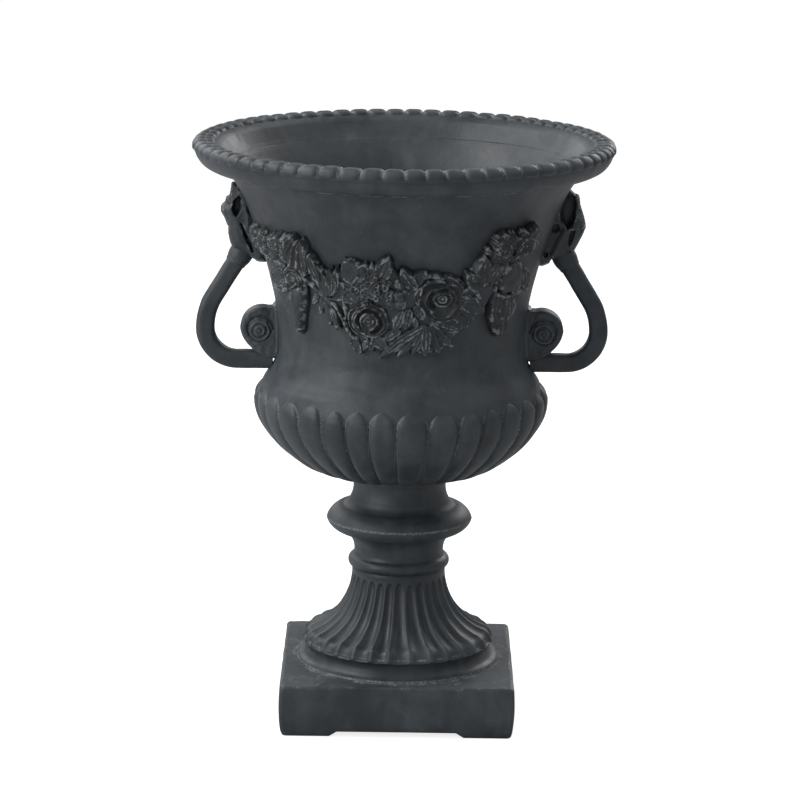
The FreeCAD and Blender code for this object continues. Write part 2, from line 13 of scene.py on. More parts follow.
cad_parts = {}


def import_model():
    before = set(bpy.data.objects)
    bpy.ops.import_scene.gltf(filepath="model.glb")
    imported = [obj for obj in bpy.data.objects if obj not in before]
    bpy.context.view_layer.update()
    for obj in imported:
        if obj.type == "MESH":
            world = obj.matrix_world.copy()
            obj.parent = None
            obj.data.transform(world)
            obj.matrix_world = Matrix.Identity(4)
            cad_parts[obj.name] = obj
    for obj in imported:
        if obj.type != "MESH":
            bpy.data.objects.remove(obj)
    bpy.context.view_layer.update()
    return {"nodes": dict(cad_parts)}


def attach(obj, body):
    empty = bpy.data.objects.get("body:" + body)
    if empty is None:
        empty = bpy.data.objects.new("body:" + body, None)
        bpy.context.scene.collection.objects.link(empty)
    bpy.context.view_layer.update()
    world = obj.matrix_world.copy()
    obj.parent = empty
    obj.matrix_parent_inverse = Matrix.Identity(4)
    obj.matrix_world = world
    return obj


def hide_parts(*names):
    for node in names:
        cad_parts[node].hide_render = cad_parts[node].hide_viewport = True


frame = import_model()

MM = 0.001
TAU = 2 * math.pi

# ---- sizes in millimetres, as the castings have them ----
HEIGHT = 609.6
LIP = 584.0
RING_FOOT = 580.0
CUP_TOP = 356.0
STEM_TOP = 250.0
SOCLE_TOP = 151.0
PLINTH_TOP = 54.4
JOINTS = (LIP, RING_FOOT, CUP_TOP, STEM_TOP, SOCLE_TOP, PLINTH_TOP)
BASE_SIDE = 235.0
BLOCK_SIDE = 245.0
ROPE_TURNS = 66
GADROONS = 32
FLUTES = 30
ROPE_RISE = 3.15
GADROON_RISE = 5.0
FLUTE_DEPTH = 3.4
FLUTE_OFFSET = math.radians(2.0)
DRAIN_RADIUS = 12.5
BORE_RADIUS = 16.0
SHARP_FROM = math.radians(55)

# reliefs: the radius they are unrolled at, their grids, how deep they sink and how much they stand proud
UNROLLED_RADIUS = 140.0
RELIEF_GRID = 0.6
BOSS_GRID = 0.55
SINK = 1.2
PROUD = 1.2

# the handle's bar: its centre line's reach, slope, two bends and the height between them
BAR_REACH = 215.0 - 9.75
BAR_SLOPE = math.radians(58.4)
UPPER_BEND = 63.0
LOWER_BEND = 33.5
BEND_HEIGHT = 408.0
EYE = (147.5, 407.0)


# ---- small maths ----

def smooth(low, high, x):
    """0 below low, 1 above high, and an even curve between."""
    t = np.clip((x - low) / (high - low), 0, 1)
    return t * t * (3 - 2 * t)


def peak(x, middle, width):
    """1 where x is at the middle, and next to nothing two widths away."""
    return np.exp(-((x - middle) / width) ** 2)


def dome(t):
    """A quarter round: steep at 0 and level at 1."""
    return np.sqrt(1 - (1 - t) ** 2)


def angles_round(count):
    """Even steps round a full turn."""
    return np.arange(count) * TAU / count


def lengths_along(points):
    """How far each point lies from the first one, along the outline."""
    return np.concatenate([[0], np.cumsum(np.linalg.norm(np.diff(points, axis=0), axis=1))])


def lattice_noise(points, size, seed):
    """Soft noise in space, about -1 to 1. size is the distance in mm from one lump to the next."""
    table = np.random.default_rng(seed).uniform(-1, 1, (32, 32, 32))
    place = np.asarray(points, float) / size + 100.5
    cell = np.floor(place).astype(int)
    t = place - cell
    t = t * t * (3 - 2 * t)
    total = np.zeros(len(place))
    for dx in (0, 1):
        for dy in (0, 1):
            for dz in (0, 1):
                share = (t[:, 0] if dx else 1 - t[:, 0]) * (t[:, 1] if dy else 1 - t[:, 1])
                share = share * (t[:, 2] if dz else 1 - t[:, 2])
                total += share * table[(cell[:, 0] + dx) % 32, (cell[:, 1] + dy) % 32, (cell[:, 2] + dz) % 32]
    return total


def ring_noise(theta, radius, size, seed):
    """Soft noise along a circle."""
    return lattice_noise(np.stack([theta * radius, theta * 0, theta * 0], 1), size, seed)


def plan_noise(X, Y, *layers):
    """Soft noise over a plan, as a sum of layers of (size, seed, share)."""
    flat = np.column_stack([X.ravel(), Y.ravel(), np.zeros(X.size)])
    return sum(lattice_noise(flat, size, seed) * share for size, seed, share in layers).reshape(X.shape)


def wobble(points, size, seeds):
    """A soft shift of each point, with one seed for each axis."""
    return np.column_stack([lattice_noise(points, size, seed) for seed in seeds])


def blurred(grid, cells):
    """A Gaussian blur of a height grid."""
    pad = int(3 * cells) + 2
    wide = np.pad(grid, pad, mode="edge")
    fy = np.fft.fftfreq(wide.shape[0])[:, None]
    fx = np.fft.rfftfreq(wide.shape[1])[None, :]
    soft = np.exp(-2 * (math.pi * cells) ** 2 * (fx * fx + fy * fy))
    out = np.fft.irfft2(np.fft.rfft2(wide) * soft, wide.shape)
    return out[pad:-pad, pad:-pad]


def arc_points(first, through, last, step):
    """Points from first to last along the circle through all three, without the first."""
    (ax, ay), (bx, by), (cx, cy) = first, through, last
    d = 2 * (ax * (by - cy) + bx * (cy - ay) + cx * (ay - by))
    a2, b2, c2 = ax * ax + ay * ay, bx * bx + by * by, cx * cx + cy * cy
    ox = (a2 * (by - cy) + b2 * (cy - ay) + c2 * (ay - by)) / d
    oy = (a2 * (cx - bx) + b2 * (ax - cx) + c2 * (bx - ax)) / d
    radius = math.hypot(ax - ox, ay - oy)
    start = math.atan2(ay - oy, ax - ox)
    sweep = (math.atan2(cy - oy, cx - ox) - start) % TAU
    if (math.atan2(by - oy, bx - ox) - start) % TAU > sweep:
        sweep -= TAU
    count = max(2, math.ceil(radius * abs(sweep) / step))
    turns = start + sweep * np.arange(1, count + 1) / count
    return [(ox + radius * math.cos(t), oy + radius * math.sin(t)) for t in turns]


def outline(start, moves, step=1.3):
    """A drawn outline as points. A move is a point for a straight line, or (through, end) for an arc."""
    points = [start]
    for move in moves:
        here = points[-1]
        if isinstance(move[0], tuple):
            points += arc_points(here, move[0], move[1], step)
        else:
            count = max(1, math.ceil(math.hypot(move[0] - here[0], move[1] - here[1]) / step))
            for index in range(1, count + 1):
                share = index / count
                points.append((here[0] + (move[0] - here[0]) * share, here[1] + (move[1] - here[1]) * share))
    return np.array(points, float)


def loop_normals(loop):
    """Outward normals of a closed outline."""
    along = np.roll(loop, -1, 0) - np.roll(loop, 1, 0)
    area = np.sum(loop[:, 0] * np.roll(loop[:, 1], -1) - np.roll(loop[:, 0], -1) * loop[:, 1])
    normal = np.stack([along[:, 1], -along[:, 0]], 1) * (1 if area > 0 else -1)
    return normal / np.maximum(np.linalg.norm(normal, axis=1), 1e-9)[:, None]


def smoothed_path(points, count):
    """A smooth curve through a few points (Catmull-Rom), at count even parameters."""
    points = np.asarray(points, float)
    ends = np.vstack([2 * points[0] - points[1], points, 2 * points[-1] - points[-2]])
    t = np.linspace(0, len(points) - 1 - 1e-9, count)
    k = t.astype(int)
    u = (t - k)[:, None]
    a, b, c, d = ends[k], ends[k + 1], ends[k + 2], ends[k + 3]
    return 0.5 * (2 * b + (c - a) * u + (2 * a - 5 * b + 4 * c - d) * u ** 2
                  + (3 * b - a - 3 * c + d) * u ** 3)


# ---- from points in mm to a finished piece ----

def flip_if_inside_out(verts, quads):
    """Faces that look outward, for a closed mesh."""
    a, b, c, d = (verts[quads[:, k]] for k in range(4))
    volume = np.einsum("ij,ij->i", a, np.cross(b, c)).sum() + np.einsum("ij,ij->i", a, np.cross(c, d)).sum()
    return quads if volume > 0 else quads[:, ::-1]


def make_piece(name, verts, quads, material, slot, nodes, dust=None, hollow=None):
    """A smooth-shaded mesh object that stands for its CAD nodes.

    verts are in mm, and a triangle is a quad that repeats its last corner.
    """
    verts = np.asarray(verts, float)
    quads = flip_if_inside_out(verts, np.asarray(quads, int))
    mesh = bpy.data.meshes.new(name)
    triangles = quads[:, 2] == quads[:, 3]
    if triangles.any():
        faces = [tuple(q[:3]) if t else tuple(q) for q, t in zip(quads.tolist(), triangles)]
        mesh.from_pydata((verts * MM).tolist(), [], faces)
    else:
        mesh.vertices.add(len(verts))
        mesh.vertices.foreach_set("co", (verts * MM).ravel())
        mesh.loops.add(quads.size)
        mesh.loops.foreach_set("vertex_index", quads.ravel())
        mesh.polygons.add(len(quads))
        mesh.polygons.foreach_set("loop_start", np.arange(0, quads.size, 4))
        mesh.update(calc_edges=True)
    mesh.validate()
    mesh.polygons.foreach_set("use_smooth", [True] * len(mesh.polygons))
    # the pale marks (dust, dry brush and some painted highlights) and the painted shade go to the mesh as
    # attributes
    for label, values in (("dust", dust), ("hollow", hollow)):
        values = np.zeros(len(verts)) if values is None else np.clip(values, 0, 1)
        mesh.attributes.new(label, "FLOAT", "POINT").data.foreach_set("value", values.astype(np.float32))
    mesh.materials.append(material)
    if material is not CARVED:
        mesh.set_sharp_from_angle(angle=SHARP_FROM)
    piece = bpy.data.objects.new(name, mesh)
    bpy.context.collection.objects.link(piece)
    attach(piece, "root")
    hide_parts(*nodes)


def ring_quads(rows, columns, close_rows=True):
    """Quads of a grid of points: each row is a closed ring, and the last row may meet the first."""
    i, j = np.arange(rows if close_rows else rows - 1), np.arange(columns)
    i, j = (g.ravel() for g in np.meshgrid(i, j, indexing="ij"))
    i2, j2 = (i + 1) % rows, (j + 1) % columns
    return np.stack([i * columns + j, i * columns + j2, i2 * columns + j2, i2 * columns + j], 1)


def fan(first, second, pole):
    """Triangles from pairs of points to one pole."""
    poles = np.full(len(first), pole)
    return np.column_stack([first, second, poles, poles])


def capped_tube(rows, sides):
    """Faces of a tube of rings, closed at its ends on the two points that follow the rings."""
    k, base = np.arange(sides), rows * sides
    step, last = (k + 1) % sides, base - sides
    return np.vstack([ring_quads(rows, sides, close_rows=False), fan(step, k, base),
                      fan(last + k, last + step, base + 1)])


def turned_piece(name, loop, around, rise, dust, hollow, wander, seed):
    """Turns a closed outline round the axis; rise lifts its points and wander is how far they stray."""
    theta = angles_round(around)
    normal = loop_normals(loop)
    rise = np.zeros((len(loop), around)) if rise is None else rise
    radius = loop[:, :1] + rise * normal[:, :1]
    height = loop[:, 1:] + rise * normal[:, 1:]
    verts = np.stack([radius * np.sin(theta), -radius * np.cos(theta), height + 0 * radius], 2).reshape(-1, 3)
    lumps = lattice_noise(verts, 28.0, seed) + 0.5 * lattice_noise(verts, 11.0, seed + 1)
    flat_normal = np.stack([normal[:, :1] * np.sin(theta), -normal[:, :1] * np.cos(theta),
                            normal[:, 1:] + 0 * theta], 2).reshape(-1, 3)
    free = np.min([smooth(0.0, 5.0, np.abs(verts[:, 2] - joint)) for joint in JOINTS], axis=0)
    verts = verts + flat_normal * ((lumps - 1.6) * wander * 0.6 * free)[:, None]
    verts[:, 2] = np.minimum(verts[:, 2], HEIGHT)
    spread = [None if a is None else (a + np.zeros_like(radius)).ravel() for a in (dust, hollow)]
    make_piece(name + "_cast", verts, ring_quads(len(loop), around), STONE, "cast_stone", [name], *spread)


# ---- finishes ----

class Wire:
    """A socket that adds its own Math nodes when it is used in an expression."""

    def __init__(self, finish, socket):
        self.finish = finish
        self.socket = socket

    def maths(self, operation, first, second):
        node = self.finish.node("ShaderNodeMath", {"operation": operation}, [first, second])
        return Wire(self.finish, node.outputs[0])

    def __add__(self, other):
        return self.maths("ADD", self, other)

    def __radd__(self, other):
        return self.maths("ADD", other, self)

    def __sub__(self, other):
        return self.maths("SUBTRACT", self, other)

    def __rsub__(self, other):
        return self.maths("SUBTRACT", other, self)

    def __mul__(self, other):
        return self.maths("MULTIPLY", self, other)

    def __rmul__(self, other):
        return self.maths("MULTIPLY", other, self)


class Finish:
    """A material and the ways to add nodes to it."""

    def __init__(self, name):
        self.material = bpy.data.materials.new(name)
        self.material.use_nodes = True
        self.tree = self.material.node_tree
        self.tree.nodes.clear()

    def node(self, kind, settings=None, values=()):
        """A node: its settings first, then its sockets, as a list in order or as a dict by name."""
        made = self.tree.nodes.new(kind)
        for key, value in (settings or {}).items():
            if key == "stops":
                ramp = made.color_ramp
                while len(ramp.elements) < len(value):
                    ramp.elements.new(0.5)
                for stop, (place, colour) in zip(ramp.elements, value):
                    stop.position = place
                    stop.color = colour if isinstance(colour, tuple) else (colour, colour, colour, 1)
            else:
                setattr(made, key, value)
        pairs = values.items() if isinstance(values, dict) else enumerate(values)
        for key, value in pairs:
            if value is None:
                continue
            socket = made.inputs[key]
            if isinstance(value, Wire):
                self.tree.links.new(value.socket, socket)
            else:
                socket.default_value = value
        return made

    def wire(self, kind, settings=None, values=(), output=0):
        return Wire(self, self.node(kind, settings, values).outputs[output])

    def noise(self, place, scale, detail=3.0, roughness=0.5, distortion=0.0):
        return self.wire("ShaderNodeTexNoise", {}, {"Vector": place, "Scale": scale, "Detail": detail,
                                                    "Roughness": roughness, "Distortion": distortion})

    def between(self, value, low, high):
        """0 below low and 1 above high."""
        return self.wire("ShaderNodeMapRange", {"interpolation_type": "SMOOTHSTEP"},
                         {"Value": value, "From Min": low, "From Max": high})

    def mix(self, share, first, second):
        """A colour mix; each colour is a tuple or a wire."""
        made = self.node("ShaderNodeMix", {"data_type": "RGBA"})
        for index, value in ((0, share), (6, first), (7, second)):
            if isinstance(value, Wire):
                self.tree.links.new(value.socket, made.inputs[index])
            else:
                made.inputs[index].default_value = value
        return Wire(self, made.outputs[2])

    def done(self, shader):
        self.node("ShaderNodeOutputMaterial", {}, {"Surface": shader})
        return self.material


def stone_finish(name, dark, light, dusty, relief=False):
    """Stained cast stone: mottled charcoal, pale dust and in places painted highlights on the marked edges,
    painted shade in the marked hollows, and a fine grain.
    """
    f = Finish(name)
    place = f.wire("ShaderNodeTexCoord", output=3)
    stretch = f.wire("ShaderNodeMapping", {}, {"Vector": place, "Scale": (1.0, 1.0, 0.35)})
    dust = f.wire("ShaderNodeAttribute", {"attribute_name": "dust"}, output=2)
    hollow = f.wire("ShaderNodeAttribute", {"attribute_name": "hollow"}, output=2)
    clouds = f.noise(place, 9.0, 4.0, 0.55)
    patches = f.noise(place, 26.0, 5.0, 0.6, 0.4)
    streaks = f.noise(stretch, 60.0, 4.0, 0.6)
    grain = f.noise(place, 900.0, 3.0, 0.6)
    specks = f.noise(place, 420.0, 2.0, 0.5)
    tone = f.between(clouds * 0.45 + patches * 0.35 + streaks * 0.20, 0.40, 0.61)
    body = f.mix(tone, dark, light)
    bloom = f.between(patches, 0.56, 0.78) * f.between(clouds, 0.45, 0.65) * 0.14
    body = f.mix(bloom, body, dusty)
    # painted shade: the marked hollows are darkened towards a deep charcoal
    body = f.mix(hollow * 0.75, body, (dark[0] * 0.35, dark[1] * 0.35, dark[2] * 0.35, 1))
    flecks = f.noise(place, 130.0, 4.0, 0.65)
    rubbed = f.between(flecks, 0.47, 0.64) * 1.5 + 0.10 if relief else 0.85
    # the pale marks: dust and dry brush, and in places a painted highlight
    worn = f.between(dust * rubbed * (0.55 + f.between(specks, 0.35, 0.7) * 0.75), 0.10, 0.80)
    pale = f.mix(grain, (dusty[0] * 0.8, dusty[1] * 0.8, dusty[2] * 0.78, 1), dusty)
    body = f.mix(worn * 0.78, body, pale)
    pits = f.between(specks, 0.74, 0.82) * 0.5
    body = f.mix(pits, body, dusty)
    rough = 0.42 + f.between(patches, 0.3, 0.7) * 0.16 + worn * 0.25
    bump = f.wire("ShaderNodeBump", {}, {"Strength": 0.22, "Distance": 0.0006, "Height": grain * 0.5
                                         + specks})
    broad = f.wire("ShaderNodeBump", {}, {"Strength": 0.35, "Distance": 0.0016, "Height": streaks * 0.4
                                          + patches, "Normal": bump})
    shader = f.wire("ShaderNodeBsdfPrincipled", {}, {
        "Base Color": body, "Roughness": rough, "Specular IOR Level": 0.5, "Normal": broad})
    return f.done(shader)


STONE = stone_finish("stained_stone", (0.024, 0.029, 0.033, 1), (0.058, 0.068, 0.076, 1),
                     (0.26, 0.28, 0.29, 1))
CARVED = stone_finish("brushed_carving", (0.020, 0.024, 0.027, 1), (0.050, 0.058, 0.064, 1),
                      (0.30, 0.32, 0.33, 1), relief=True)


def steel_finish():
    """The bare rod inside each handle."""
    f = Finish("bare_rod")
    place = f.wire("ShaderNodeTexCoord", output=3)
    brushed = f.noise(place, 500.0, 2.0, 0.5)
    colour = f.mix(brushed, (0.38, 0.38, 0.38, 1), (0.5, 0.5, 0.5, 1))
    shader = f.wire("ShaderNodeBsdfPrincipled", {}, {
        "Base Color": colour, "Metallic": 1.0, "Roughness": 0.35 + brushed * 0.15})
    return f.done(shader)


STEEL = steel_finish()

# ---- the turned castings ----

BELL_OUTER = outline((190.5, LIP), [
    ((176.5, 566.5), (163.3, 541.0)),
    ((147.3, 497.0), (135.3, 452.0)),
    ((131.0, 428.0), (129.3, 404.0)),
    (129.3, 394.0),
    ((131.0, 380.0), (137.0, 367.0)),
    ((140.5, 361.7), (143.8, CUP_TOP)),
], 1.5)


def wall_radius(height):
    return np.interp(height, BELL_OUTER[::-1, 1], BELL_OUTER[::-1, 0])


def ripple(theta, count, seed, amount):
    """A slow unevenness round the piece, the same at both ends of the turn."""
    draws = np.random.default_rng(seed).uniform(-1, 1, (2, 6))
    total = sum(draws[0, k] * np.cos((k + 2) * theta) + draws[1, k] * np.sin((k + 2) * theta)
                for k in range(6))
    return amount * total / 6 * TAU / count


def rope_rim():
    """The ring: a smooth coved band, with the rope's rounded turns over its top."""
    body = outline((190.9, RING_FOOT), [
        (195.5, RING_FOOT),
        ((210.5, 586.0), (216.0, 596.0)),
        ((215.6, 603.2), (206.0, 606.2)),
        ((195.8, 605.4), (187.0, 600.3)),
        (176.0, LIP), (190.9, LIP), (190.9, 580.4)], 0.8)
    around = ROPE_TURNS * 18
    theta = angles_round(around)
    index = np.arange(len(body))
    lower = int(np.argmin(np.hypot(body[:, 0] - 216.6, body[:, 1] - 598.2)))
    inner = int(np.argmin(np.hypot(body[:, 0] - 196.0, body[:, 1] - 605.4)))
    share = np.clip((index - lower) / (inner - lower), -0.2, 1.2)[:, None]
    draws = np.random.default_rng(5).uniform(-1, 1, (3, ROPE_TURNS))
    turn = (theta + ripple(theta, ROPE_TURNS, 5, 0.5)) * ROPE_TURNS / TAU
    lobe = np.floor(turn).astype(int) % ROPE_TURNS
    slant = 0.10 * np.sin(theta - 0.5)
    phase = (turn + (slant + 0.06 * draws[0][lobe]) * (share - 0.4)) % 1 - 0.5
    u = 2 * phase / (0.985 - 0.02 * draws[1][lobe] ** 2)
    v = 2 * share - 1
    q = np.abs(u) ** 3.2 + np.abs(v) ** 5.0
    rise = ROPE_RISE * (1 + 0.10 * draws[2][lobe]) * np.clip(1 - q, 0, 1) ** 0.55
    edge = peak(q, 0.97, 0.13)
    gap = peak(np.abs(u), 1, 0.15) * (share > 0.02) * (share < 0.80)
    fork = edge * peak(share, 0.03, 0.06) * peak(np.abs(u), 1, 0.45)
    # pale dust in the grooves and on the crests, made stronger towards the front left as a painted highlight
    # where the light falls
    painted_highlight_side = np.clip(0.45 + 0.55 * np.cos(theta + 0.45), 0.12, 1) * (0.75 + 0.25 * draws[2][lobe])
    crest = peak(share, 0.62, 0.10) * (np.abs(u) < 0.8) * 0.20
    dust = np.clip((1.35 * gap * smooth(0.0, 0.25, share) + 1.1 * fork + crest) * painted_highlight_side, 0, 1)
    outer_face = (index < lower)[:, None]
    height = body[:, 1][:, None]
    flecks = ring_noise(theta, 200, 3.5, 6)
    band = peak(height, 581.6, 1.3) * outer_face
    dust = np.maximum(dust, band * np.clip(0.35 + 0.9 * flecks, 0, 0.9))
    # painted shade in a line under the rope's turns, along the top of the band
    under = peak(height, 596.5, 1.2) * outer_face
    turned_piece("rope_rim", body, around, rise, dust, 0.45 * under + 0 * theta, wander=0.3, seed=11)


def bell():
    """The flared, open body."""
    inside = outline((128.0, CUP_TOP), [
        ((117.5, 374.0), (115.3, 394.0)),
        (115.3, 404.0),
        ((117.0, 428.0), (121.5, 452.0)),
        ((134.0, 497.0), (153.5, 551.0)),
        ((165.0, 569.5), (176.0, LIP)),
    ], 2.2)
    loop = np.vstack([BELL_OUTER, outline((143.8, CUP_TOP), [(128.0, CUP_TOP)], 3.0)[1:-1], inside,
                      outline((176.0, LIP), [(190.5, LIP)], 3.0)[1:-1]])
    around = 420
    theta = angles_round(around)
    height = loop[:, 1][:, None]
    outer = loop_normals(loop)[:, :1] > 0.2
    # painted highlight: a pale band round the shoulder where the light falls on its curve, stronger and
    # weaker round the turn
    shoulder_highlight = peak(height, 372.0, 9.0) * outer
    dust = shoulder_highlight * (0.16 + 0.10 * np.sin(theta * 3 + 0.6))
    turned_piece("bell", loop, around, None, dust, None, wander=0.3, seed=21)


def gadroon_cup():
    """The lower half of the bowl with its gadroons, its neck and its drain."""
    outer = outline((143.8, CUP_TOP), [
        ((147.9, 346.0), (149.1, 333.0)),
        ((147.6, 324.0), (144.4, 315.7)),
        ((133.4, 299.0), (115.2, 281.4)),
        ((104.5, 273.2), (93.5, 267.2)),
        ((77.5, 261.8), (56.0, 259.5)),
    ], 0.9)
    below = outline((56.0, 259.5), [(50.5, 259.5), (50.5, STEM_TOP), (30.0, STEM_TOP), (30.0, 236.0),
                                    (BORE_RADIUS, 236.0), (BORE_RADIUS, 254.0), (DRAIN_RADIUS, 254.0),
                                    (DRAIN_RADIUS, 276.0), (70.0, 276.0), ((98.0, 284.0), (121.0, 303.0)),
                                    ((135.0, 325.0), (128.0, CUP_TOP)), (143.8, CUP_TOP)], 2.2)[1:-1]
    loop = np.vstack([outer, below])
    count = len(outer)
    around = GADROONS * 28
    theta = angles_round(around)
    reach = lengths_along(outer)
    share = np.ones(len(loop))
    share[:count] = reach / reach[-1]
    share = share[:, None]
    turn = (theta + ripple(theta, GADROONS, 9, 0.35)) * GADROONS / TAU
    phase = turn % 1 - 0.5
    lobe = np.floor(turn).astype(int) % GADROONS
    draws = np.random.default_rng(3).uniform(-1, 1, (4, GADROONS))
    head = 0.048 + 0.010 * draws[0][lobe]
    across = 2 * np.abs(phase + 0.012 * draws[3][lobe]) / (0.965 + 0.02 * draws[1][lobe])
    arched = (share - head) / 0.125
    ramp = np.sqrt(np.clip(1 - (1 - np.clip(arched, 0, 1)) ** 2.2, 0, 1))
    reach_in = across / np.maximum(ramp, 1e-3)
    profile = np.sqrt(np.clip(1 - reach_in ** 2.6, 0, 1))
    foot = np.clip((1 - share) / 0.08, 0, 1)
    size = np.minimum(1.0, 0.30 + loop[:, :1] / 190.0) * (1 + 0.07 * draws[2][lobe])
    on_cup = (np.arange(len(loop)) < count)[:, None]
    rise = np.where(on_cup, GADROON_RISE * profile ** 0.9 * np.sqrt(foot) * size
                    * smooth(0.0, 0.9, arched + 0.25), 0.0)
    # painted highlight: the pale edge lines of the lobes are made stronger on the left side, where the light
    # falls
    left = np.clip(0.55 - 0.45 * np.sin(theta), 0.2, 1)
    edge = peak(reach_in, 1.0, 0.07) * (arched > -0.02) * (share < 0.95)
    dusty = peak(reach_in, 1.0, 0.20) * peak(share, 0.30, 0.13) * (draws[2][lobe] > -0.2)
    spots = np.clip(ring_noise(theta, 150, 16.0, 36) + 0.4, 0, 1)
    dust = on_cup * np.clip(edge * (0.95 - 0.35 * smooth(0.4, 1.0, share)) * (0.55 + 0.45 * left)
                            + 0.6 * dusty * spots, 0, 1)
    # painted shade along the lobes' edges, on the right half only, away from the light
    hollow = on_cup * peak(reach_in, 0.86, 0.08) * (arched > 0.1) * smooth(-0.2, 0.4, np.sin(theta)) * 0.5
    turned_piece("gadroon_cup", loop, around, rise, dust, hollow, wander=0.3, seed=31)


def stem():
    """The knop and bead between cup and socle."""
    loop = outline((50.5, STEM_TOP), [((49.2, 238.0), (52.0, 228.5)), ((54.5, 223.5), (59.5, 220.3)),
                                      ((72.0, 214.5), (77.0, 206.0)), ((73.0, 199.0), (61.0, 192.8)),
                                      (57.5, 191.5), ((49.5, 182.0), (47.3, 170.0)), (48.4, 166.8),
                                      ((53.6, 160.0), (48.8, 153.2)), (49.2, SOCLE_TOP), (28.0, SOCLE_TOP),
                                      (28.0, 139.0), (BORE_RADIUS, 139.0), (BORE_RADIUS, 236.0),
                                      (30.4, 236.0), (30.4, STEM_TOP), (50.5, STEM_TOP)], 1.1)[:-1]
    around = 260
    theta = angles_round(around)
    height = loop[:, 1][:, None]
    outer = (loop[:, :1] > 45.0)
    ridge = peak(height, 207.0, 1.4) * np.clip(0.75 + 0.4 * np.cos(theta), 0, 1)
    under = peak(height, 193.0, 2.5) * 0.35
    bead = (peak(height, 165.8, 1.1) + peak(height, 153.4, 1.0)) * 0.25
    dust = outer * (0.75 * ridge + under + bead)
    # painted shade under the knop and at the foot of the lower bead
    hollow = outer * (peak(height, 191.0, 1.5) * 0.3 + peak(height, 152.5, 1.2) * 0.5)
    turned_piece("stem", loop, around, None, dust, hollow, wander=0.35, seed=41)


def fluted_socle():
    """The flared foot: flutes that break out through its scalloped edge, over a coved round base."""
    outer = outline((49.2, SOCLE_TOP), [
        ((53.8, 126.0), (64.6, 106.5)), ((77.5, 94.8), (92.8, 87.0)), ((97.8, 83.0), (100.5, 77.5)),
        ((101.3, 74.0), (98.5, 71.5)), ((98.0, 63.5), (106.0, 57.0)), (107.0, PLINTH_TOP)], 0.75)
    inner = outline((107.0, PLINTH_TOP), [(72.0, PLINTH_TOP), (72.0, 66.0), ((44.0, 84.0), (28.0, 126.0)),
                                          (28.4, 138.6), (28.4, SOCLE_TOP), (49.2, SOCLE_TOP)], 2.2)[1:-1]
    loop = np.vstack([outer, inner])
    around = FLUTES * 28
    theta = angles_round(around)
    count = len(outer)
    index = np.arange(len(loop))
    nose = int(np.argmin(np.hypot(outer[:, 0] - 100.9, outer[:, 1] - 75.5)))
    reach = lengths_along(outer)
    along = np.full(len(loop), 1e3)
    along[:count] = reach
    along = along[:, None]
    end = reach[nose]
    turn = (theta - FLUTE_OFFSET + ripple(theta, FLUTES, 6, 0.4)) * FLUTES / TAU + 0.5
    phase = turn % 1 - 0.5
    draws = np.random.default_rng(8).uniform(-1, 1, (4, FLUTES))
    flute = np.floor(turn).astype(int) % FLUTES
    head = 6.0 + 1.5 * draws[0][flute]
    start = np.sqrt(np.clip(1 - (1 - np.clip((along - head) / 9.0, 0, 1)) ** 2, 0, 1))
    across = 2 * np.abs(phase) / np.maximum((0.86 + 0.05 * draws[1][flute]) * start, 1e-3)
    scoop = np.clip(1 - np.clip(across, 0, 1) ** 2.2, 0, 1)
    on_flutes = (index < count)[:, None]
    depth = FLUTE_DEPTH * np.minimum(1.0, 0.22 + loop[:, :1] / 88.0) * (1 + 0.15 * draws[2][flute])
    run_out = 1 - smooth(end + 0.5, end + 3.5, along)
    rise = np.where(on_flutes, -depth * scoop * start * run_out, 0.0)
    nose_face = peak(along - end + 1.2, 0, 1.7)
    rise = rise + on_flutes * 0.7 * nose_face * np.cos(math.pi * np.clip(phase, -0.5, 0.5)) ** 2
    broken = np.clip(ring_noise(theta, 98, 7.0, 53) * 0.9 + 0.62, 0.15, 1)
    # the pale crescents on the flute ends: dust, and a painted highlight where their faces turn up to the
    # light
    dust = on_flutes * np.clip(1.1 * nose_face * broken * (0.55 + 0.45 * np.cos(TAU * phase)), 0, 1)
    ridge = on_flutes * smooth(0.85, 1.05, across) * 0.10
    foot = peak(loop[:, 1:], 55.4, 1.3) * on_flutes * (0.45 + 0.4 * broken)
    dust = np.clip(dust + ridge + foot, 0, 1)
    # painted shade in the flute channels and in the cove under their ends
    cove = peak(loop[:, 1:], 66.5, 4.5) * (loop[:, :1] > 97.0) * (loop[:, :1] < 104.0)
    hollow = on_flutes * (0.25 * scoop * start + 0.55 * cove)
    turned_piece("fluted_socle", loop, around, rise, dust, hollow, wander=0.3, seed=51)


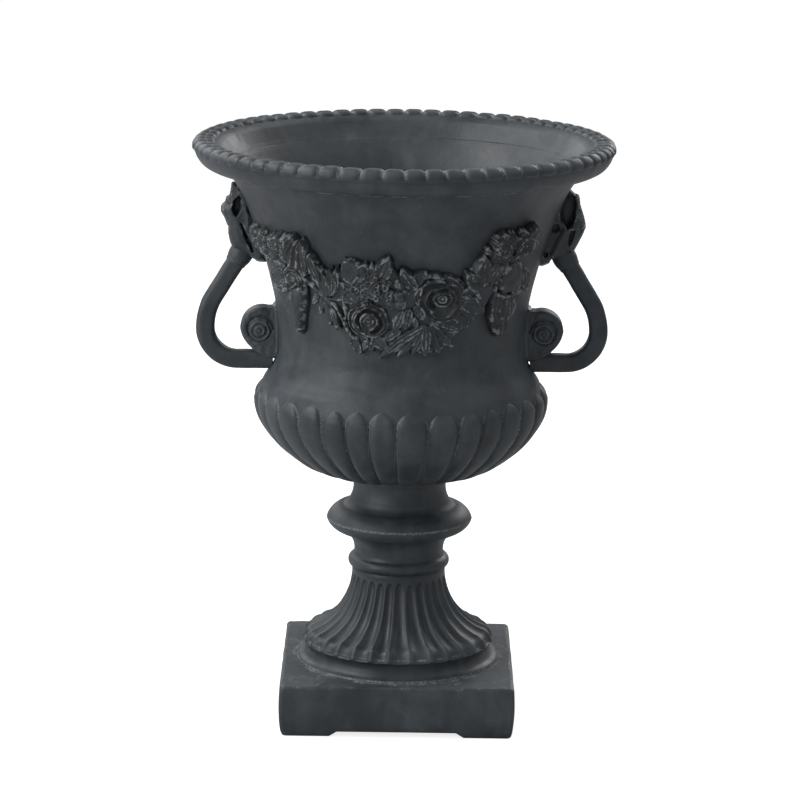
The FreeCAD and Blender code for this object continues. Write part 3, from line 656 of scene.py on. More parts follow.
def plinth():
    """The square base: a swelling block with soft edges, four feet and an arch on each side."""
    levels = [(0.0, BASE_SIDE, 3.0), (0.7, BASE_SIDE + 2.2, 3.4), (1.5, BASE_SIDE + 3.6, 4.0),
              (2.5, BLOCK_SIDE - 5.5, 4.5), (4.0, BLOCK_SIDE - 4.6, 4.7), (5.0, BLOCK_SIDE - 4.0, 4.8),
              (6.5, BLOCK_SIDE - 3.4, 4.9), (8.0, BLOCK_SIDE - 3.0, 5.0), (11.0, BLOCK_SIDE - 2.3, 5.0),
              (15.0, BLOCK_SIDE - 1.5, 5.0), (20.0, BLOCK_SIDE - 0.8, 5.0), (25.0, BLOCK_SIDE - 0.3, 5.0),
              (30.0, BLOCK_SIDE, 5.0), (36.0, BLOCK_SIDE, 5.0), (42.0, BLOCK_SIDE - 0.3, 5.0),
              (47.0, BLOCK_SIDE - 0.7, 5.0), (50.5, BLOCK_SIDE - 1.0, 5.0), (51.9, BLOCK_SIDE - 1.3, 5.0),
              (52.9, BLOCK_SIDE - 2.0, 5.0), (53.6, BLOCK_SIDE - 3.0, 5.0), (54.1, BLOCK_SIDE - 4.2, 4.8),
              (PLINTH_TOP, BLOCK_SIDE - 6.0, 4.5)]
    side_steps, corner_steps = 150, 6

    def square(side, radius):
        """A square with round corners, as the same number of points whatever its size."""
        half = side / 2
        line = [(x, -half) for x in np.linspace(-(half - radius), half - radius, side_steps)]
        turns = np.linspace(0, math.pi / 2, corner_steps + 2)[1:-1]
        line += [(half - radius + radius * math.sin(a), -half + radius - radius * math.cos(a)) for a in turns]
        line = np.array(line)
        quarters = []
        for _ in range(4):
            quarters.append(line)
            line = np.column_stack([-line[:, 1], line[:, 0]])
        return np.vstack(quarters)

    foot_inside, foot_outside = 62.0, 70.0
    arch_height, arch_fades_at = 5.0, 11.0

    def arch_over(x, y):
        """How far the underside is cut up from the floor."""
        ramp = [np.clip((foot_outside - np.abs(k)) / (foot_outside - foot_inside), 0, 1) for k in (x, y)]
        return arch_height * np.maximum(ramp[0], ramp[1])

    rings = []
    for level, side, radius in levels:
        plan = square(side, radius)
        lifted = arch_over(plan[:, 0], plan[:, 1])
        z = np.where(level < arch_fades_at, lifted + (arch_fades_at - lifted) * level / arch_fades_at, level)
        rings.append(np.column_stack([plan, z]))
    top_plan = square(*levels[-1][1:])
    for share in np.linspace(0.985, 0.30, 56):
        rings.append(np.column_stack([top_plan * share, np.full(len(top_plan), PLINTH_TOP)]))
    circle = np.arctan2(top_plan[:, 1], top_plan[:, 0])
    for radius, z in ((24.0, PLINTH_TOP), (BORE_RADIUS + 0.2, PLINTH_TOP), (BORE_RADIUS, 53.8),
                      (BORE_RADIUS, 35.0), (BORE_RADIUS, 12.0), (BORE_RADIUS, 5.6)):
        rings.append(np.column_stack([radius * np.cos(circle), radius * np.sin(circle),
                                      np.full(len(circle), z)]))
    low_plan = square(BASE_SIDE, 3.0)
    for share in np.linspace(0.16, 0.997, 70):
        x, y = (low_plan * share).T
        rings.append(np.column_stack([x, y, arch_over(x, y)]))
    verts = np.vstack(rings)
    quads = ring_quads(len(rings), len(top_plan))
    top = verts[:, 2] > PLINTH_TOP - 0.3
    outside = np.maximum(np.abs(verts[:, 0]), np.abs(verts[:, 1]))
    worn = lattice_noise(verts, 9.0, 61) + 0.6 * lattice_noise(verts, 3.4, 62)
    fine = lattice_noise(verts, 2.0, 65)
    rim = peak(outside - BLOCK_SIDE / 2 + 1.8, 0, 1.6) * (verts[:, 2] > 50.5)
    bruise = rim * np.clip(lattice_noise(verts, 16.0, 63) * 0.7 + worn * 0.2, -0.2, 1.0) * 1.3
    pits = smooth(0.5, 0.9, worn + 0.4 * fine) * top * 0.7
    verts[:, 2] -= np.maximum(bruise, 0) + pits + 0.1 * (verts[:, 2] > 50)
    inward = np.where(outside > BASE_SIDE / 2 - 3, 0.25 + 0.3 * lattice_noise(verts, 22.0, 64), 0.0)
    verts[:, :2] *= (1 - np.maximum(inward, 0) / 120.0)[:, None]
    verts[:, 2] = np.maximum(verts[:, 2], 0.0)
    distance = np.hypot(verts[:, 0], verts[:, 1])
    crust = np.clip(0.55 + 0.8 * worn, 0, 1) * peak(distance, 108.5, 2.6)
    dust = top * np.clip(0.22 + 0.25 * worn + 0.15 * fine + 0.7 * crust, 0, 1)
    dust = np.maximum(dust, rim * (0.20 + 0.35 * worn))
    low = peak(verts[:, 2], 0, 2.0) * (outside > BASE_SIDE / 2 - 2) * 0.3
    dust = np.maximum(dust, low)
    # the pits on the top are darkened with painted shade
    make_piece("plinth_cast", verts, quads, STONE, "cast_stone", ["plinth"], dust, pits * 0.6)


# ---- relief: heights in mm over the bell's wall, drawn on the unrolled wall ----
# a place is (along, up): how far round the wall it lies from the middle of the front, at UNROLLED_RADIUS,
# and its height

def drop_off(inside, steep=4.0):
    """Nothing inside an outline, and a steep fall outside it."""
    return np.minimum(inside, 0) * steep


def leaf(S, Z, root, tip, width, high, cup=0.9, rib=0.8, veins=5, notch=0.10, bend=0.0, curl=0.0):
    """A pointed leaf; cup raises its edges, rib its middle, and curl its tip."""
    length = math.hypot(tip[0] - root[0], tip[1] - root[1])
    ax, az = (tip[0] - root[0]) / length, (tip[1] - root[1]) / length
    x = (S - root[0]) * ax + (Z - root[1]) * az
    y = (Z - root[1]) * ax - (S - root[0]) * az
    share = np.clip(x / length, 0, 1)
    y = y - bend * 4 * share * (1 - share)
    half = width / 2 * share ** 0.6 * (1 - share) ** 0.75 / 0.395
    half = half * (1 - notch * (1 - np.abs(np.sin(math.pi * veins * share))))
    inside = half - np.abs(y) - np.maximum(-x, 0) - np.maximum(x - length, 0)
    side = np.clip(np.abs(y) / np.maximum(half, 0.3), 0, 1)
    top = high + cup * (side ** 2 - 0.45) + curl * share ** 2
    top = top + rib * peak(y, 0, 0.8) * (1 - 0.6 * share)
    top = top - 0.5 * rib * peak(np.abs(y), 1.9, 0.9)
    top = top + 0.35 * np.cos(TAU * (veins * share - 0.6 * side)) * side * (1 - share)
    return top + drop_off(inside)


def petal(S, Z, centre, radius, facing, span, high, dish=0.32, lip=0.7, squash=1.0, deep=6.0):
    """A rose petal: a raised rim on part of a circle, dished towards the middle."""
    ds, dz = S - centre[0], (Z - centre[1]) / squash
    rho = np.hypot(ds, dz)
    phi = np.degrees(np.arctan2(dz, ds)) - facing
    phi = (phi + 180) % 360 - 180
    turn = np.clip(np.abs(phi) / (span / 2), 0, 1)
    rim = radius * (1 - 0.13 * turn ** 2) * (1 + 0.02 * np.sin(np.radians(phi) * 7))
    inside = rim - rho
    ends = (span / 2 - np.abs(phi)) * math.pi / 180 * np.maximum(rho, 1.0)
    top = high - dish * np.clip(inside, 0, deep) + lip * peak(inside, 0.8, 0.9)
    return top + drop_off(inside) + drop_off(ends, 2.5)


def ball(S, Z, centre, radius, high, tall=1.0):
    """A rounded bud."""
    q = np.hypot(S - centre[0], (Z - centre[1]) / tall) / radius
    return high - radius * 0.9 * (1 - np.sqrt(np.clip(1 - q * q, 0, 1))) + drop_off((1 - q) * radius, 3)


def blossom(S, Z, centre, radius, high, petals=5, turn=0.0, cup=1.3):
    """A small open flower with cupped petals and a knob in the middle."""
    best = np.full_like(S, -9.0)
    for index in range(petals):
        a = math.radians(turn) + TAU * index / petals
        u = (S - centre[0]) * math.cos(a) + (Z - centre[1]) * math.sin(a) - 0.56 * radius
        v = (Z - centre[1]) * math.cos(a) - (S - centre[0]) * math.sin(a)
        q = np.hypot(u / (0.46 * radius), v / (0.36 * radius))
        top = high - cup * (1 - np.clip(q, 0, 1) ** 2) + cup * 0.5
        best = np.maximum(best, top + drop_off((1 - q) * 0.36 * radius, 3.5))
    return np.maximum(best, ball(S, Z, centre, 0.24 * radius, high + 0.9))


def beside_line(S, Z, start, end):
    """How far along a line each place lies, from 0 to 1, and how far from it."""
    (s0, z0), (s1, z1) = start, end
    t = np.clip(((S - s0) * (s1 - s0) + (Z - z0) * (z1 - z0)) / ((s1 - s0) ** 2 + (z1 - z0) ** 2), 0, 1)
    return t, np.hypot(S - s0 - t * (s1 - s0), Z - z0 - t * (z1 - z0))


def stroke(S, Z, path, width, high):
    """A round strand along a path of points."""
    best = np.full_like(S, 1e3)
    path = smoothed_path(path, 4 * len(path))
    for start, end in zip(path[:-1], path[1:]):
        best = np.minimum(best, beside_line(S, Z, start, end)[1])
    half = width / 2
    return high - 0.8 * half * (1 - np.sqrt(np.clip(1 - (best / half) ** 2, 0, 1))) + drop_off(half - best,
            3.5)


def distance_inside(S, Z, corners):
    """Signed distance inside a polygon."""
    best = np.full_like(S, 1e3)
    odd = np.zeros(S.shape, bool)
    for start, end in zip(corners, corners[1:] + corners[:1]):
        best = np.minimum(best, beside_line(S, Z, start, end)[1])
        (s0, z0), (s1, z1) = start, end
        if z0 != z1:
            odd ^= ((z0 > Z) != (z1 > Z)) & (S < (s1 - s0) * (Z - z0) / (z1 - z0) + s0)
    return np.where(odd, best, -best)


def pad(S, Z, corners, high, bevel=2.5, crown=0.0):
    """A raised shape with a rounded border; crown swells its middle."""
    inside = distance_inside(S, Z, corners)
    t = np.clip(inside / bevel, 0, 1)
    deep = np.clip(inside / 12.0, 0, 1)
    return high * (0.25 + 0.75 * dome(t)) + crown * deep * (2 - deep) + drop_off(inside, 3)


def heap(S, Z, shapes, over=None):
    """The highest of several shapes, and of what they lie over. A shape is (drawing function, its terms)."""
    h = np.full_like(S, -np.inf) if over is None else over
    for draw, *terms in shapes:
        h = np.maximum(h, draw(S, Z, *terms))
    return h


def posy_mass(S, Z, centre, reach, high, count, seed, small=3.2, large=5.2):
    """A crowd of little flowers and buds, packed at random inside an ellipse."""
    draws = np.random.default_rng(seed)
    best = np.full_like(S, -9.0)
    for _ in range(count):
        angle = draws.uniform(0, TAU)
        away = math.sqrt(draws.uniform(0, 1))
        place = (centre[0] + reach[0] * away * math.cos(angle), centre[1] + reach[1] * away * math.sin(angle))
        radius = draws.uniform(small, large)
        level = high * (1 - 0.35 * away * away) + draws.uniform(-0.8, 0.8)
        if draws.uniform() < 0.7:
            lump = blossom(S, Z, place, radius, level, 5, draws.uniform(0, 72), 1.5)
        else:
            lump = ball(S, Z, place, radius * 0.55, level)
        best = np.maximum(best, lump)
    return best


def rose_left(S, Z):
    return heap(S, Z, [
        (petal, (-33, 446.5), 22.5, 200, 150, 7.0, 0.30, 0.8, 0.92),
        (petal, (-32, 446), 20.5, 75, 130, 7.6, 0.38, 0.7, 0.92),
        (petal, (-32, 446), 19.5, -40, 160, 8.2, 0.30, 0.6, 0.95),
        (petal, (-33, 446), 17.5, 190, 130, 9.0, 0.45, 0.8, 0.95),
        (petal, (-32.5, 446), 15.0, 172, 95, 10.2, 0.85, 0.7, 1.0),
        (petal, (-32, 446), 16.0, 80, 110, 9.6, 0.80, 0.5, 0.98),
        (petal, (-32, 445.5), 15.5, -25, 130, 10.0, 0.85, 0.6, 1.0),
        (petal, (-32, 446.5), 9.4, -100, 120, 12.6, 0.30, 1.0, 1.0),
        (petal, (-31.5, 447.5), 9.0, 20, 170, 12.4, 0.30, 0.8, 1.0),
        (petal, (-31.5, 447.5), 8.8, 150, 140, 12.8, 0.35, 0.8, 1.0),
        (petal, (-31.5, 448), 5.2, 60, 200, 13.4, 0.35, 0.7, 1.0),
        (petal, (-31.8, 448), 4.8, 230, 170, 13.6, 0.35, 0.7, 1.0),
        (ball, (-31.5, 448), 2.4, 14.0),
    ])


def rose_right(S, Z):
    return heap(S, Z, [
        (petal, (37, 470), 25.5, 160, 100, 6.6, 0.22, 0.8, 0.98),
        (petal, (38, 470), 24.5, 62, 110, 6.8, 0.22, 0.7, 1.0),
        (petal, (38, 468), 25.0, -50, 120, 6.4, 0.22, 0.5, 1.0),
        (petal, (37, 470), 23.5, 225, 90, 7.0, 0.30, 0.7, 0.95),
        (petal, (34, 472), 20.5, 118, 100, 8.2, 0.30, 0.8, 0.98),
        (petal, (40, 471), 18.5, 38, 90, 8.6, 0.35, 0.8, 1.0),
        (petal, (38, 468.5), 17.6, -72, 120, 10.0, 0.40, 1.2, 1.02),
        (petal, (38, 470), 16.8, 172, 130, 10.4, 0.62, 1.0, 1.0),
        (petal, (38, 471), 15.0, 75, 120, 9.8, 0.60, 0.7, 0.9),
        (petal, (38, 470.5), 13.6, 5, 110, 10.4, 0.60, 0.7, 1.0),
        (petal, (37.5, 473), 9.3, -88, 140, 13.0, 0.60, 1.3, 0.85),
        (petal, (37.5, 473), 9.0, 150, 150, 12.6, 0.55, 1.0, 0.85),
        (petal, (37.5, 473), 9.2, 35, 140, 12.8, 0.55, 1.0, 0.85),
        (petal, (37, 473.5), 5.0, 120, 170, 13.2, 0.4, 0.7, 0.9),
        (petal, (37, 473.5), 4.8, -60, 170, 13.4, 0.4, 0.7, 0.9),
        (ball, (37, 474), 2.0, 13.8),
    ])


def posy(S, Z):
    h = blossom(S, Z, (-33.5, 487.5), 6.6, 10.8, 5, 20, 2.0)
    for place, radius, level, turn in (((-42, 482.5), 5.8, 9.8, 50), ((-37, 474), 6.2, 10.2, 10),
                                       ((-26, 485), 5.6, 10.4, 30), ((-24.5, 476), 6.4, 10.6, 60),
                                       ((-30, 480), 5.4, 11.0, 0), ((-14.5, 475.5), 6.2, 9.8, 40),
                                       ((-17.5, 487), 6.4, 8.8, 15), ((-36, 468), 4.2, 9.2, 33),
                                       ((-27, 493), 4.4, 9.4, 5), ((-40, 489.5), 3.6, 8.8, 44)):
        h = np.maximum(h, blossom(S, Z, place, radius, level, 5, turn, 1.8))
    return h


def berries(S, Z):
    h = ball(S, Z, (-3.2, 474), 6.6, 11.0)
    for place, radius, level in (((-2.5, 485.5), 6.4, 10.0), ((-2.0, 464.5), 6.6, 10.4),
                                 ((-11.5, 466.5), 5.4, 9.4), ((3.4, 478.5), 4.2, 8.6),
                                 ((-9.5, 461.5), 4.0, 8.2)):
        h = np.maximum(h, ball(S, Z, place, radius, level))
    crease = 0.5 * peak(S + 2.5 + 0.2 * (Z - 485), 0, 0.8) * (Z > 479)
    return h - crease + 0.5 * blossom(S, Z, (-2.5, 488), 5.0, 1.4, 6, 10, 1.2).clip(-0.2, 2)


def crown_leaves(S, Z):
    return heap(S, Z, [
        (leaf, (-37, 487), (-53, 509), 24, 6.8, 1.7, 0.7, 4, 0.05, 1.5, 1.0),
        (leaf, (-38, 490), (-34, 507), 13, 7.0, 1.4, 0.5, 3, 0.05, 0.0, 0.8),
        (leaf, (-27, 491), (-28, 506), 9, 7.8, 1.2, 0.6, 3, 0.05, 0.0, 1.2),
        (leaf, (-24, 489), (-12.5, 514), 15, 8.4, 1.6, 0.9, 4, 0.04, -1.0, 1.6),
        (leaf, (13.5, 481), (-1.0, 502), 12, 7.4, 1.3, 0.9, 4, 0.04, 1.2, 0.8),
        (leaf, (8, 484), (22, 499), 11, 6.2, 1.1, 0.6, 3, 0.05, 0.8, 0.5),
        (leaf, (-44, 464), (-55, 479), 15, 6.6, 1.0, 0.4, 2, 0.0, 2.0, 0.5),
        (stroke, [(20, 494.2), (27, 494.8), (34, 494.0)], 2.4, 8.6),
    ])


def leaf_spray(S, Z):
    h = heap(S, Z, [
        (leaf, (24, 443), (-23, 405.5), 9, 7.8, 0.9, 1.0, 6, 0.04, -1.5, 0.0),
        (leaf, (22, 441), (-4, 408), 8, 6.8, 0.9, 0.8, 5, 0.06, 1.0, 0.0),
        (leaf, (24, 442), (11, 410), 9, 7.2, 0.9, 0.9, 5, 0.08, 1.0, 0.0),
        (leaf, (25, 442), (25, 408), 10, 7.8, 1.1, 1.0, 5, 0.10, 0.0, 0.0),
        (leaf, (27, 441), (40, 411), 9, 7.2, 1.0, 0.9, 5, 0.10, -1.0, 0.0),
        (leaf, (28, 443), (55, 417), 10, 6.6, 1.0, 0.9, 6, 0.12, -1.5, 0.0),
        (leaf, (30, 445), (62, 433), 9, 6.0, 0.8, 0.7, 5, 0.10, -1.0, 0.0),
        (leaf, (52, 452), (70, 437), 10, 6.2, 0.9, 0.6, 4, 0.08, 1.0, 0.0),
        (leaf, (1, 458), (-8, 436.5), 10, 8.0, 1.0, 0.8, 4, 0.05, 1.0, 0.0),
        (leaf, (8, 461), (4, 438), 9, 8.2, 1.0, 1.0, 4, 0.05, -0.8, 0.0),
        (leaf, (10, 452), (15, 440), 6, 8.6, 0.9, 0.8, 3, 0.05, 0.0, 0.4),
        (leaf, (12, 464), (22, 448), 9, 8.0, 0.9, 0.9, 4, 0.06, 0.8, 0.0),
        (leaf, (-1, 437), (-17, 425), 10, 7.0, 1.0, 0.6, 3, 0.05, -1.0, 0.0),
        (leaf, (4, 432), (-14, 413), 11, 6.6, 1.0, 0.5, 3, 0.05, 1.5, 0.0),
        (leaf, (-30, 430), (-15, 416), 13, 7.0, 1.2, 0.6, 3, 0.06, 0.0, 0.4),
        (leaf, (-34, 424), (-30, 412), 7, 6.4, 1.0, 0.5, 3, 0.1, 0.0, 0.4),
        (leaf, (-36, 424), (-40, 414), 6, 6.4, 1.0, 0.5, 3, 0.1, 0.0, 0.4),
    ])
    for place in ((-35, 426), (-31, 421), (-27, 418.5), (-9, 433), (-8, 447), (-7, 442)):
        h = np.maximum(h, ball(S, Z, place, 1.9, 7.6))
    return h


def twig(S, Z):
    return heap(S, Z, [
        (stroke, [(-102, 487), (-92, 479), (-81, 471), (-72, 463.5), (-66, 457), (-61, 446), (-56, 434),
                  (-50, 426)], 3.4, 8.4),
        (stroke, [(-100, 482), (-90, 475), (-80, 467.5), (-71, 461.5)], 2.4, 7.6),
        (stroke, [(-47, 479), (-54, 476), (-58, 470), (-57.5, 459), (-57, 449), (-60, 444)], 2.6, 8.2),
        (stroke, [(-75, 467), (-66, 465.5), (-58, 467.5)], 2.0, 7.4),
        (ball, (-57, 458.5), 2.6, 9.0),
        (ball, (-60, 445.5), 2.4, 9.0),
        (leaf, (-52, 428), (-43, 409), 10, 7.2, 0.5, 0.2, 2, 0.0, 0.0, 0.0),
        (leaf, (-68, 464), (-57, 486), 9, 6.2, 0.9, 0.6, 3, 0.04, -0.5, 0.6),
        # a bud like a small tulip above the stem, a rounded one below, and crumbs of foliage
        (leaf, (-73, 469), (-80, 498), 12, 7.0, 1.5, 0.0, 2, 0.0, 2.5, 0.8),
        (leaf, (-73, 469), (-69, 498), 11, 7.4, 1.5, 0.0, 2, 0.0, -2.0, 0.8),
        (leaf, (-69, 470), (-62, 500), 7, 7.2, 1.2, 0.4, 3, 0.04, -1.0, 1.0),
        (ball, (-70.5, 447), 6.2, 7.6, 1.5),
        (leaf, (-72, 458), (-68, 433), 6, 8.0, 0.4, 0.6, 2, 0.0, 0.0, 0.0),
        (leaf, (-74, 456), (-77, 436), 5, 6.4, 0.6, 0.4, 2, 0.0, 0.0, 0.0),
        (leaf, (-84, 466), (-89, 447), 6, 4.6, 0.6, 0.5, 3, 0.1, 0.0, 0.0),
        (leaf, (-88, 470), (-97, 456), 6, 4.6, 0.6, 0.5, 3, 0.1, 0.0, 0.0),
        (leaf, (-80, 462), (-80, 444), 6, 4.8, 0.6, 0.5, 3, 0.1, 0.0, 0.0),
    ])


def cluster_left(S, Z):
    return heap(S, Z, [
        (posy_mass, (-124, 512), (20, 13), 10.5, 46, 71),
        (posy_mass, (-150, 509), (16, 14), 9.0, 30, 72),
        (posy_mass, (-176, 512), (14, 12), 7.5, 22, 73),
    ])


def ring_rose(S, Z, c, radius, high):
    """A small rose seen from the side: nested arcs over a seeded middle."""
    return heap(S, Z, [
        (petal, c, radius, 90, 220, high - 1.0, 0.3, 0.9),
        (petal, c, radius * 0.80, 100, 200, high, 0.4, 0.9),
        (petal, c, radius * 0.60, 80, 220, high + 0.8, 0.4, 0.8),
        (posy_mass, c, (radius * 0.5, radius * 0.45), high + 1.2, 14, 74, 2.0, 3.0),
    ])


def fold_left(S, Z):
    """Gathered folds, two long leaves and the ringed rose that ties the drop."""
    corners = [(-119, 526), (-104, 530), (-96, 520), (-97, 500), (-104, 490), (-118, 492), (-124, 505)]
    h = pad(S, Z, corners, 8.4, 3.0, 1.2)
    turn = np.arctan2(Z - 540, S + 92)
    h = h + 1.1 * np.cos(turn * 34) * (h > 2)
    h = heap(S, Z, [
        (leaf, (-98, 488), (-94, 526), 11, 8.6, 1.4, 0.8, 4, 0.03, 1.5, 0.4),
        (leaf, (-83, 482), (-89, 512), 10, 7.6, 1.3, 0.9, 4, 0.03, 0.8, 0.6),
        (ring_rose, (-112, 481), 15.5, 9.6),
        (pad, [(-150, 500), (-126, 500), (-122, 480), (-128, 466), (-150, 470)], 7.6, 4.0, 1.5),
    ], h)
    for place, radius, turn in (((-134, 488), 7.5, 10), ((-146, 480), 6.5, 40), ((-129, 474), 6.0, 25)):
        h = np.maximum(h, blossom(S, Z, place, radius, 9.2, 5, turn, 1.6))
    return h


def drop_left(S, Z):
    """A smooth tapering tail under a rolled hem."""
    corners = [(-150, 470), (-132, 468), (-103, 478), (-104, 462), (-112, 440), (-117, 424), (-123, 419),
               (-126, 424), (-134, 438), (-146, 452)]
    h = pad(S, Z, corners, 6.6, 4.0, 2.6)
    h = h + 0.9 * peak(S + 116 + 0.25 * (Z - 440), 0, 3.2) * (h > 1)
    return heap(S, Z, [
        (stroke, [(-152, 465), (-138, 465), (-124, 470), (-106, 481)], 3.0, 8.8),
        (stroke, [(-150, 470), (-136, 470), (-124, 474), (-110, 483)], 2.4, 8.8),
    ], h)


def cluster_right(S, Z):
    return heap(S, Z, [
        (posy_mass, (98, 519), (19, 14), 11.0, 48, 81),
        (posy_mass, (90, 500), (10, 8), 9.5, 18, 83),
        (ring_rose, (119, 517), 13.0, 11.0),
        (leaf, (122, 526), (131, 539), 12, 8.0, 1.2, 0.6, 3, 0.05, 0.0, 1.0),
        (leaf, (118, 526), (112, 537), 10, 7.6, 1.2, 0.6, 3, 0.05, 0.0, 1.0),
        (leaf, (126, 512), (139, 522), 6, 6.4, 0.8, 0.6, 3, 0.05, 0.0, 1.0),
    ])


def fold_right(S, Z):
    """The cup of leaves that links the swag to the right drop."""
    return heap(S, Z, [
        (leaf, (80, 479), (61, 497), 15, 8.0, 1.6, 0.8, 3, 0.03, 2.0, 1.0),
        (leaf, (80, 482), (77, 513), 16, 8.4, 1.7, 0.9, 3, 0.03, 2.0, 1.0),
        (ring_rose, (73, 490), 8.5, 9.6),
        (leaf, (88, 483), (94, 505), 12, 9.0, 1.4, 0.8, 3, 0.05, 0.0, 1.0),
        (stroke, [(60, 478), (66, 480), (73, 476), (79, 468)], 3.6, 7.8),
        (stroke, [(58, 468), (66, 470), (76, 466), (82, 458)], 4.4, 7.4),
        (leaf, (60, 462), (88, 452), 15, 5.8, 0.9, 0.5, 4, 0.06, 2.0, 0.0),
        (leaf, (58, 456), (76, 441), 12, 5.4, 0.9, 0.5, 4, 0.06, 1.0, 0.0),
    ])


def drop_right(S, Z):
    """A hanging bunch: a broad leaf, a rolled band, a narrower leaf and a seeded tail."""
    upper = [(101, 502), (124, 502), (131, 488), (130, 470), (104, 468), (97, 480)]
    lower = [(98, 470), (130, 468), (131, 452), (124, 436), (118, 424), (110, 424), (101, 438), (97, 455)]
    h = pad(S, Z, lower, 6.8, 4.0, 2.2)
    h = h + 0.8 * np.cos((S - 100) * 0.55) * (h > 2)
    return heap(S, Z, [
        (pad, upper, 7.6, 4.0, 2.4),
        (leaf, (112, 500), (122, 468), 20, 9.0, 1.3, 0.9, 4, 0.03, 1.0, 0.6),
        (leaf, (108, 470), (117, 436), 15, 8.6, 1.4, 0.9, 4, 0.04, -1.0, 0.4),
        (leaf, (124, 470), (124, 442), 11, 8.0, 1.2, 0.8, 4, 0.04, 0.0, 0.4),
        (stroke, [(99, 470), (108, 467), (119, 467), (131, 470)], 3.4, 9.4),
        (stroke, [(97, 484), (97, 462), (99, 444), (108, 428)], 2.4, 7.2),
        (posy_mass, (114, 432), (9, 6), 8.6, 12, 84, 2.4, 3.6),
        (ball, (140, 478), 6.0, 7.6, 1.5),
        (leaf, (134, 492), (147, 466), 12, 6.4, 1.0, 0.8, 4, 0.04, 0.0, 0.4),
    ], h)


def garland_ground(S, Z):
    """The mass that carries the sprigs, rough at its border."""
    corners = [(-96, 486), (-82, 498), (-64, 492), (-54, 502), (-36, 502), (-24, 500), (-12, 506), (0, 494),
               (14, 494), (24, 492), (44, 494), (60, 488), (66, 500), (84, 508), (96, 506), (98, 470),
               (84, 450), (70, 438), (56, 428), (44, 414), (24, 408), (8, 414), (-14, 410), (-28, 414),
               (-44, 410), (-52, 420), (-60, 440), (-70, 446), (-84, 462), (-96, 470)]
    return pad(S, Z, corners, 4.4, 3.5, 0.6)


SPRIGS = {
    "rose_left": (rose_left, (-60, -6, 420, 472)),
    "rose_right": (rose_right, (6, 68, 438, 502)),
    "posy": (posy, (-54, -4, 460, 502)),
    "berries": (berries, (-20, 14, 452, 496)),
    "crown_leaves": (crown_leaves, (-66, 40, 458, 520)),
    "leaf_spray": (leaf_spray, (-46, 76, 400, 470)),
    "twig": (twig, (-108, -36, 402, 504)),
    "cluster_left": (cluster_left, (-198, -94, 486, 534)),
    "cluster_right": (cluster_right, (72, 144, 486, 544)),
    "fold_left": (fold_left, (-156, -76, 460, 536)),
    "fold_right": (fold_right, (50, 104, 434, 518)),
    "drop_left": (drop_left, (-158, -96, 412, 490)),
    "drop_right": (drop_right, (90, 152, 416, 508)),
    "garland_ground": (garland_ground, (-106, 106, 400, 514)),
}


def wall_points(S, Z, heights):
    """Points over the bell's wall at these heights."""
    radius = wall_radius(Z)
    slope = wall_radius(Z + 0.5) - wall_radius(Z - 0.5)
    tilt = 1 / np.sqrt(1 + slope ** 2)
    turn = S / UNROLLED_RADIUS
    out = radius + heights * tilt
    return np.stack([out * np.sin(turn), -out * np.cos(turn), Z - heights * slope * tilt], -1)


def sheet_faces(quad):
    """The faces of a closed slab whose two sheets share one pattern of quads, and which points they use."""
    # a point touched by two quads only across its corner would pinch the slab
    for _ in range(3):
        p = np.pad(quad, 1)
        a, b, c, d = p[:-1, :-1], p[:-1, 1:], p[1:, :-1], p[1:, 1:]
        pinch = (a & d & ~b & ~c) | (b & c & ~a & ~d)
        if not pinch.any():
            break
        quad = quad & ~(pinch[:-1, :-1] | pinch[1:, 1:])
    used = np.zeros((quad.shape[0] + 1, quad.shape[1] + 1), bool)
    for dy, dx in ((0, 0), (1, 0), (0, 1), (1, 1)):
        used[dy:quad.shape[0] + dy, dx:quad.shape[1] + dx] |= quad
    number = np.full(used.shape, -1)
    number[used] = np.arange(used.sum())
    i, j = np.nonzero(quad)
    a, b, c, d = number[i, j], number[i, j + 1], number[i + 1, j + 1], number[i + 1, j]
    upper = np.stack([a, b, c, d], 1)
    lower = upper[:, ::-1] + used.sum()
    p = np.pad(quad, 1)
    sides = []
    for ends, beyond in (((a, b), p[:-2, 1:-1]), ((b, c), p[1:-1, 2:]), ((c, d), p[2:, 1:-1]),
                         ((d, a), p[1:-1, :-2])):
        open_side = ~beyond[i, j]
        first, second = ends[0][open_side], ends[1][open_side]
        sides.append(np.stack([second, first, first + used.sum(), second + used.sum()], 1))
    return used, np.vstack([upper, lower] + sides)


def brush_and_shade(h, shown):
    """Where a relief catches the dry brush, and where painted shade darkens its recesses."""
    fine, broad = blurred(shown, 1.6), blurred(shown, 5.0)
    ridge = np.clip((h - fine) / 0.42, 0, 1) * 0.75 + np.clip((h - broad) / 1.8, 0, 1) * 0.25
    return ridge, np.clip((broad - h) / 2.2, 0, 1)


def full_quads(keep):
    return keep[:-1, :-1] & keep[1:, :-1] & keep[:-1, 1:] & keep[1:, 1:]


def sprig_mesh(build, window, seed):
    """A closed patch of relief: its top, a floor just inside the wall, and the sides between them."""
    s0, s1, z0, z1 = window
    S, Z = np.meshgrid(np.arange(s0, s1, RELIEF_GRID), np.arange(z0, z1, RELIEF_GRID))
    h = build(S, Z)
    h = np.where(h > 0, h * PROUD, h)
    h = h + plan_noise(S, Z, (7.5, seed, 0.75), (3.4, seed + 1, 0.40), (1.8, seed + 2, 0.12))
    shown = np.clip(h, -SINK, None)
    # the dry brush on the ridges, and painted shade in the recesses
    ridge, cavity_shade = brush_and_shade(h, shown)
    h = 0.75 * h + 0.25 * np.where(h > -SINK, blurred(shown, 0.8), h)
    used, quads = sheet_faces(full_quads(h > -SINK))
    top = wall_points(S[used], Z[used], np.maximum(h, -SINK)[used])
    floor = wall_points(S[used], Z[used], np.full(used.sum(), -SINK - 0.8))
    return np.vstack([top, floor]), quads, np.tile(ridge[used], 2), np.tile(cavity_shade[used], 2)


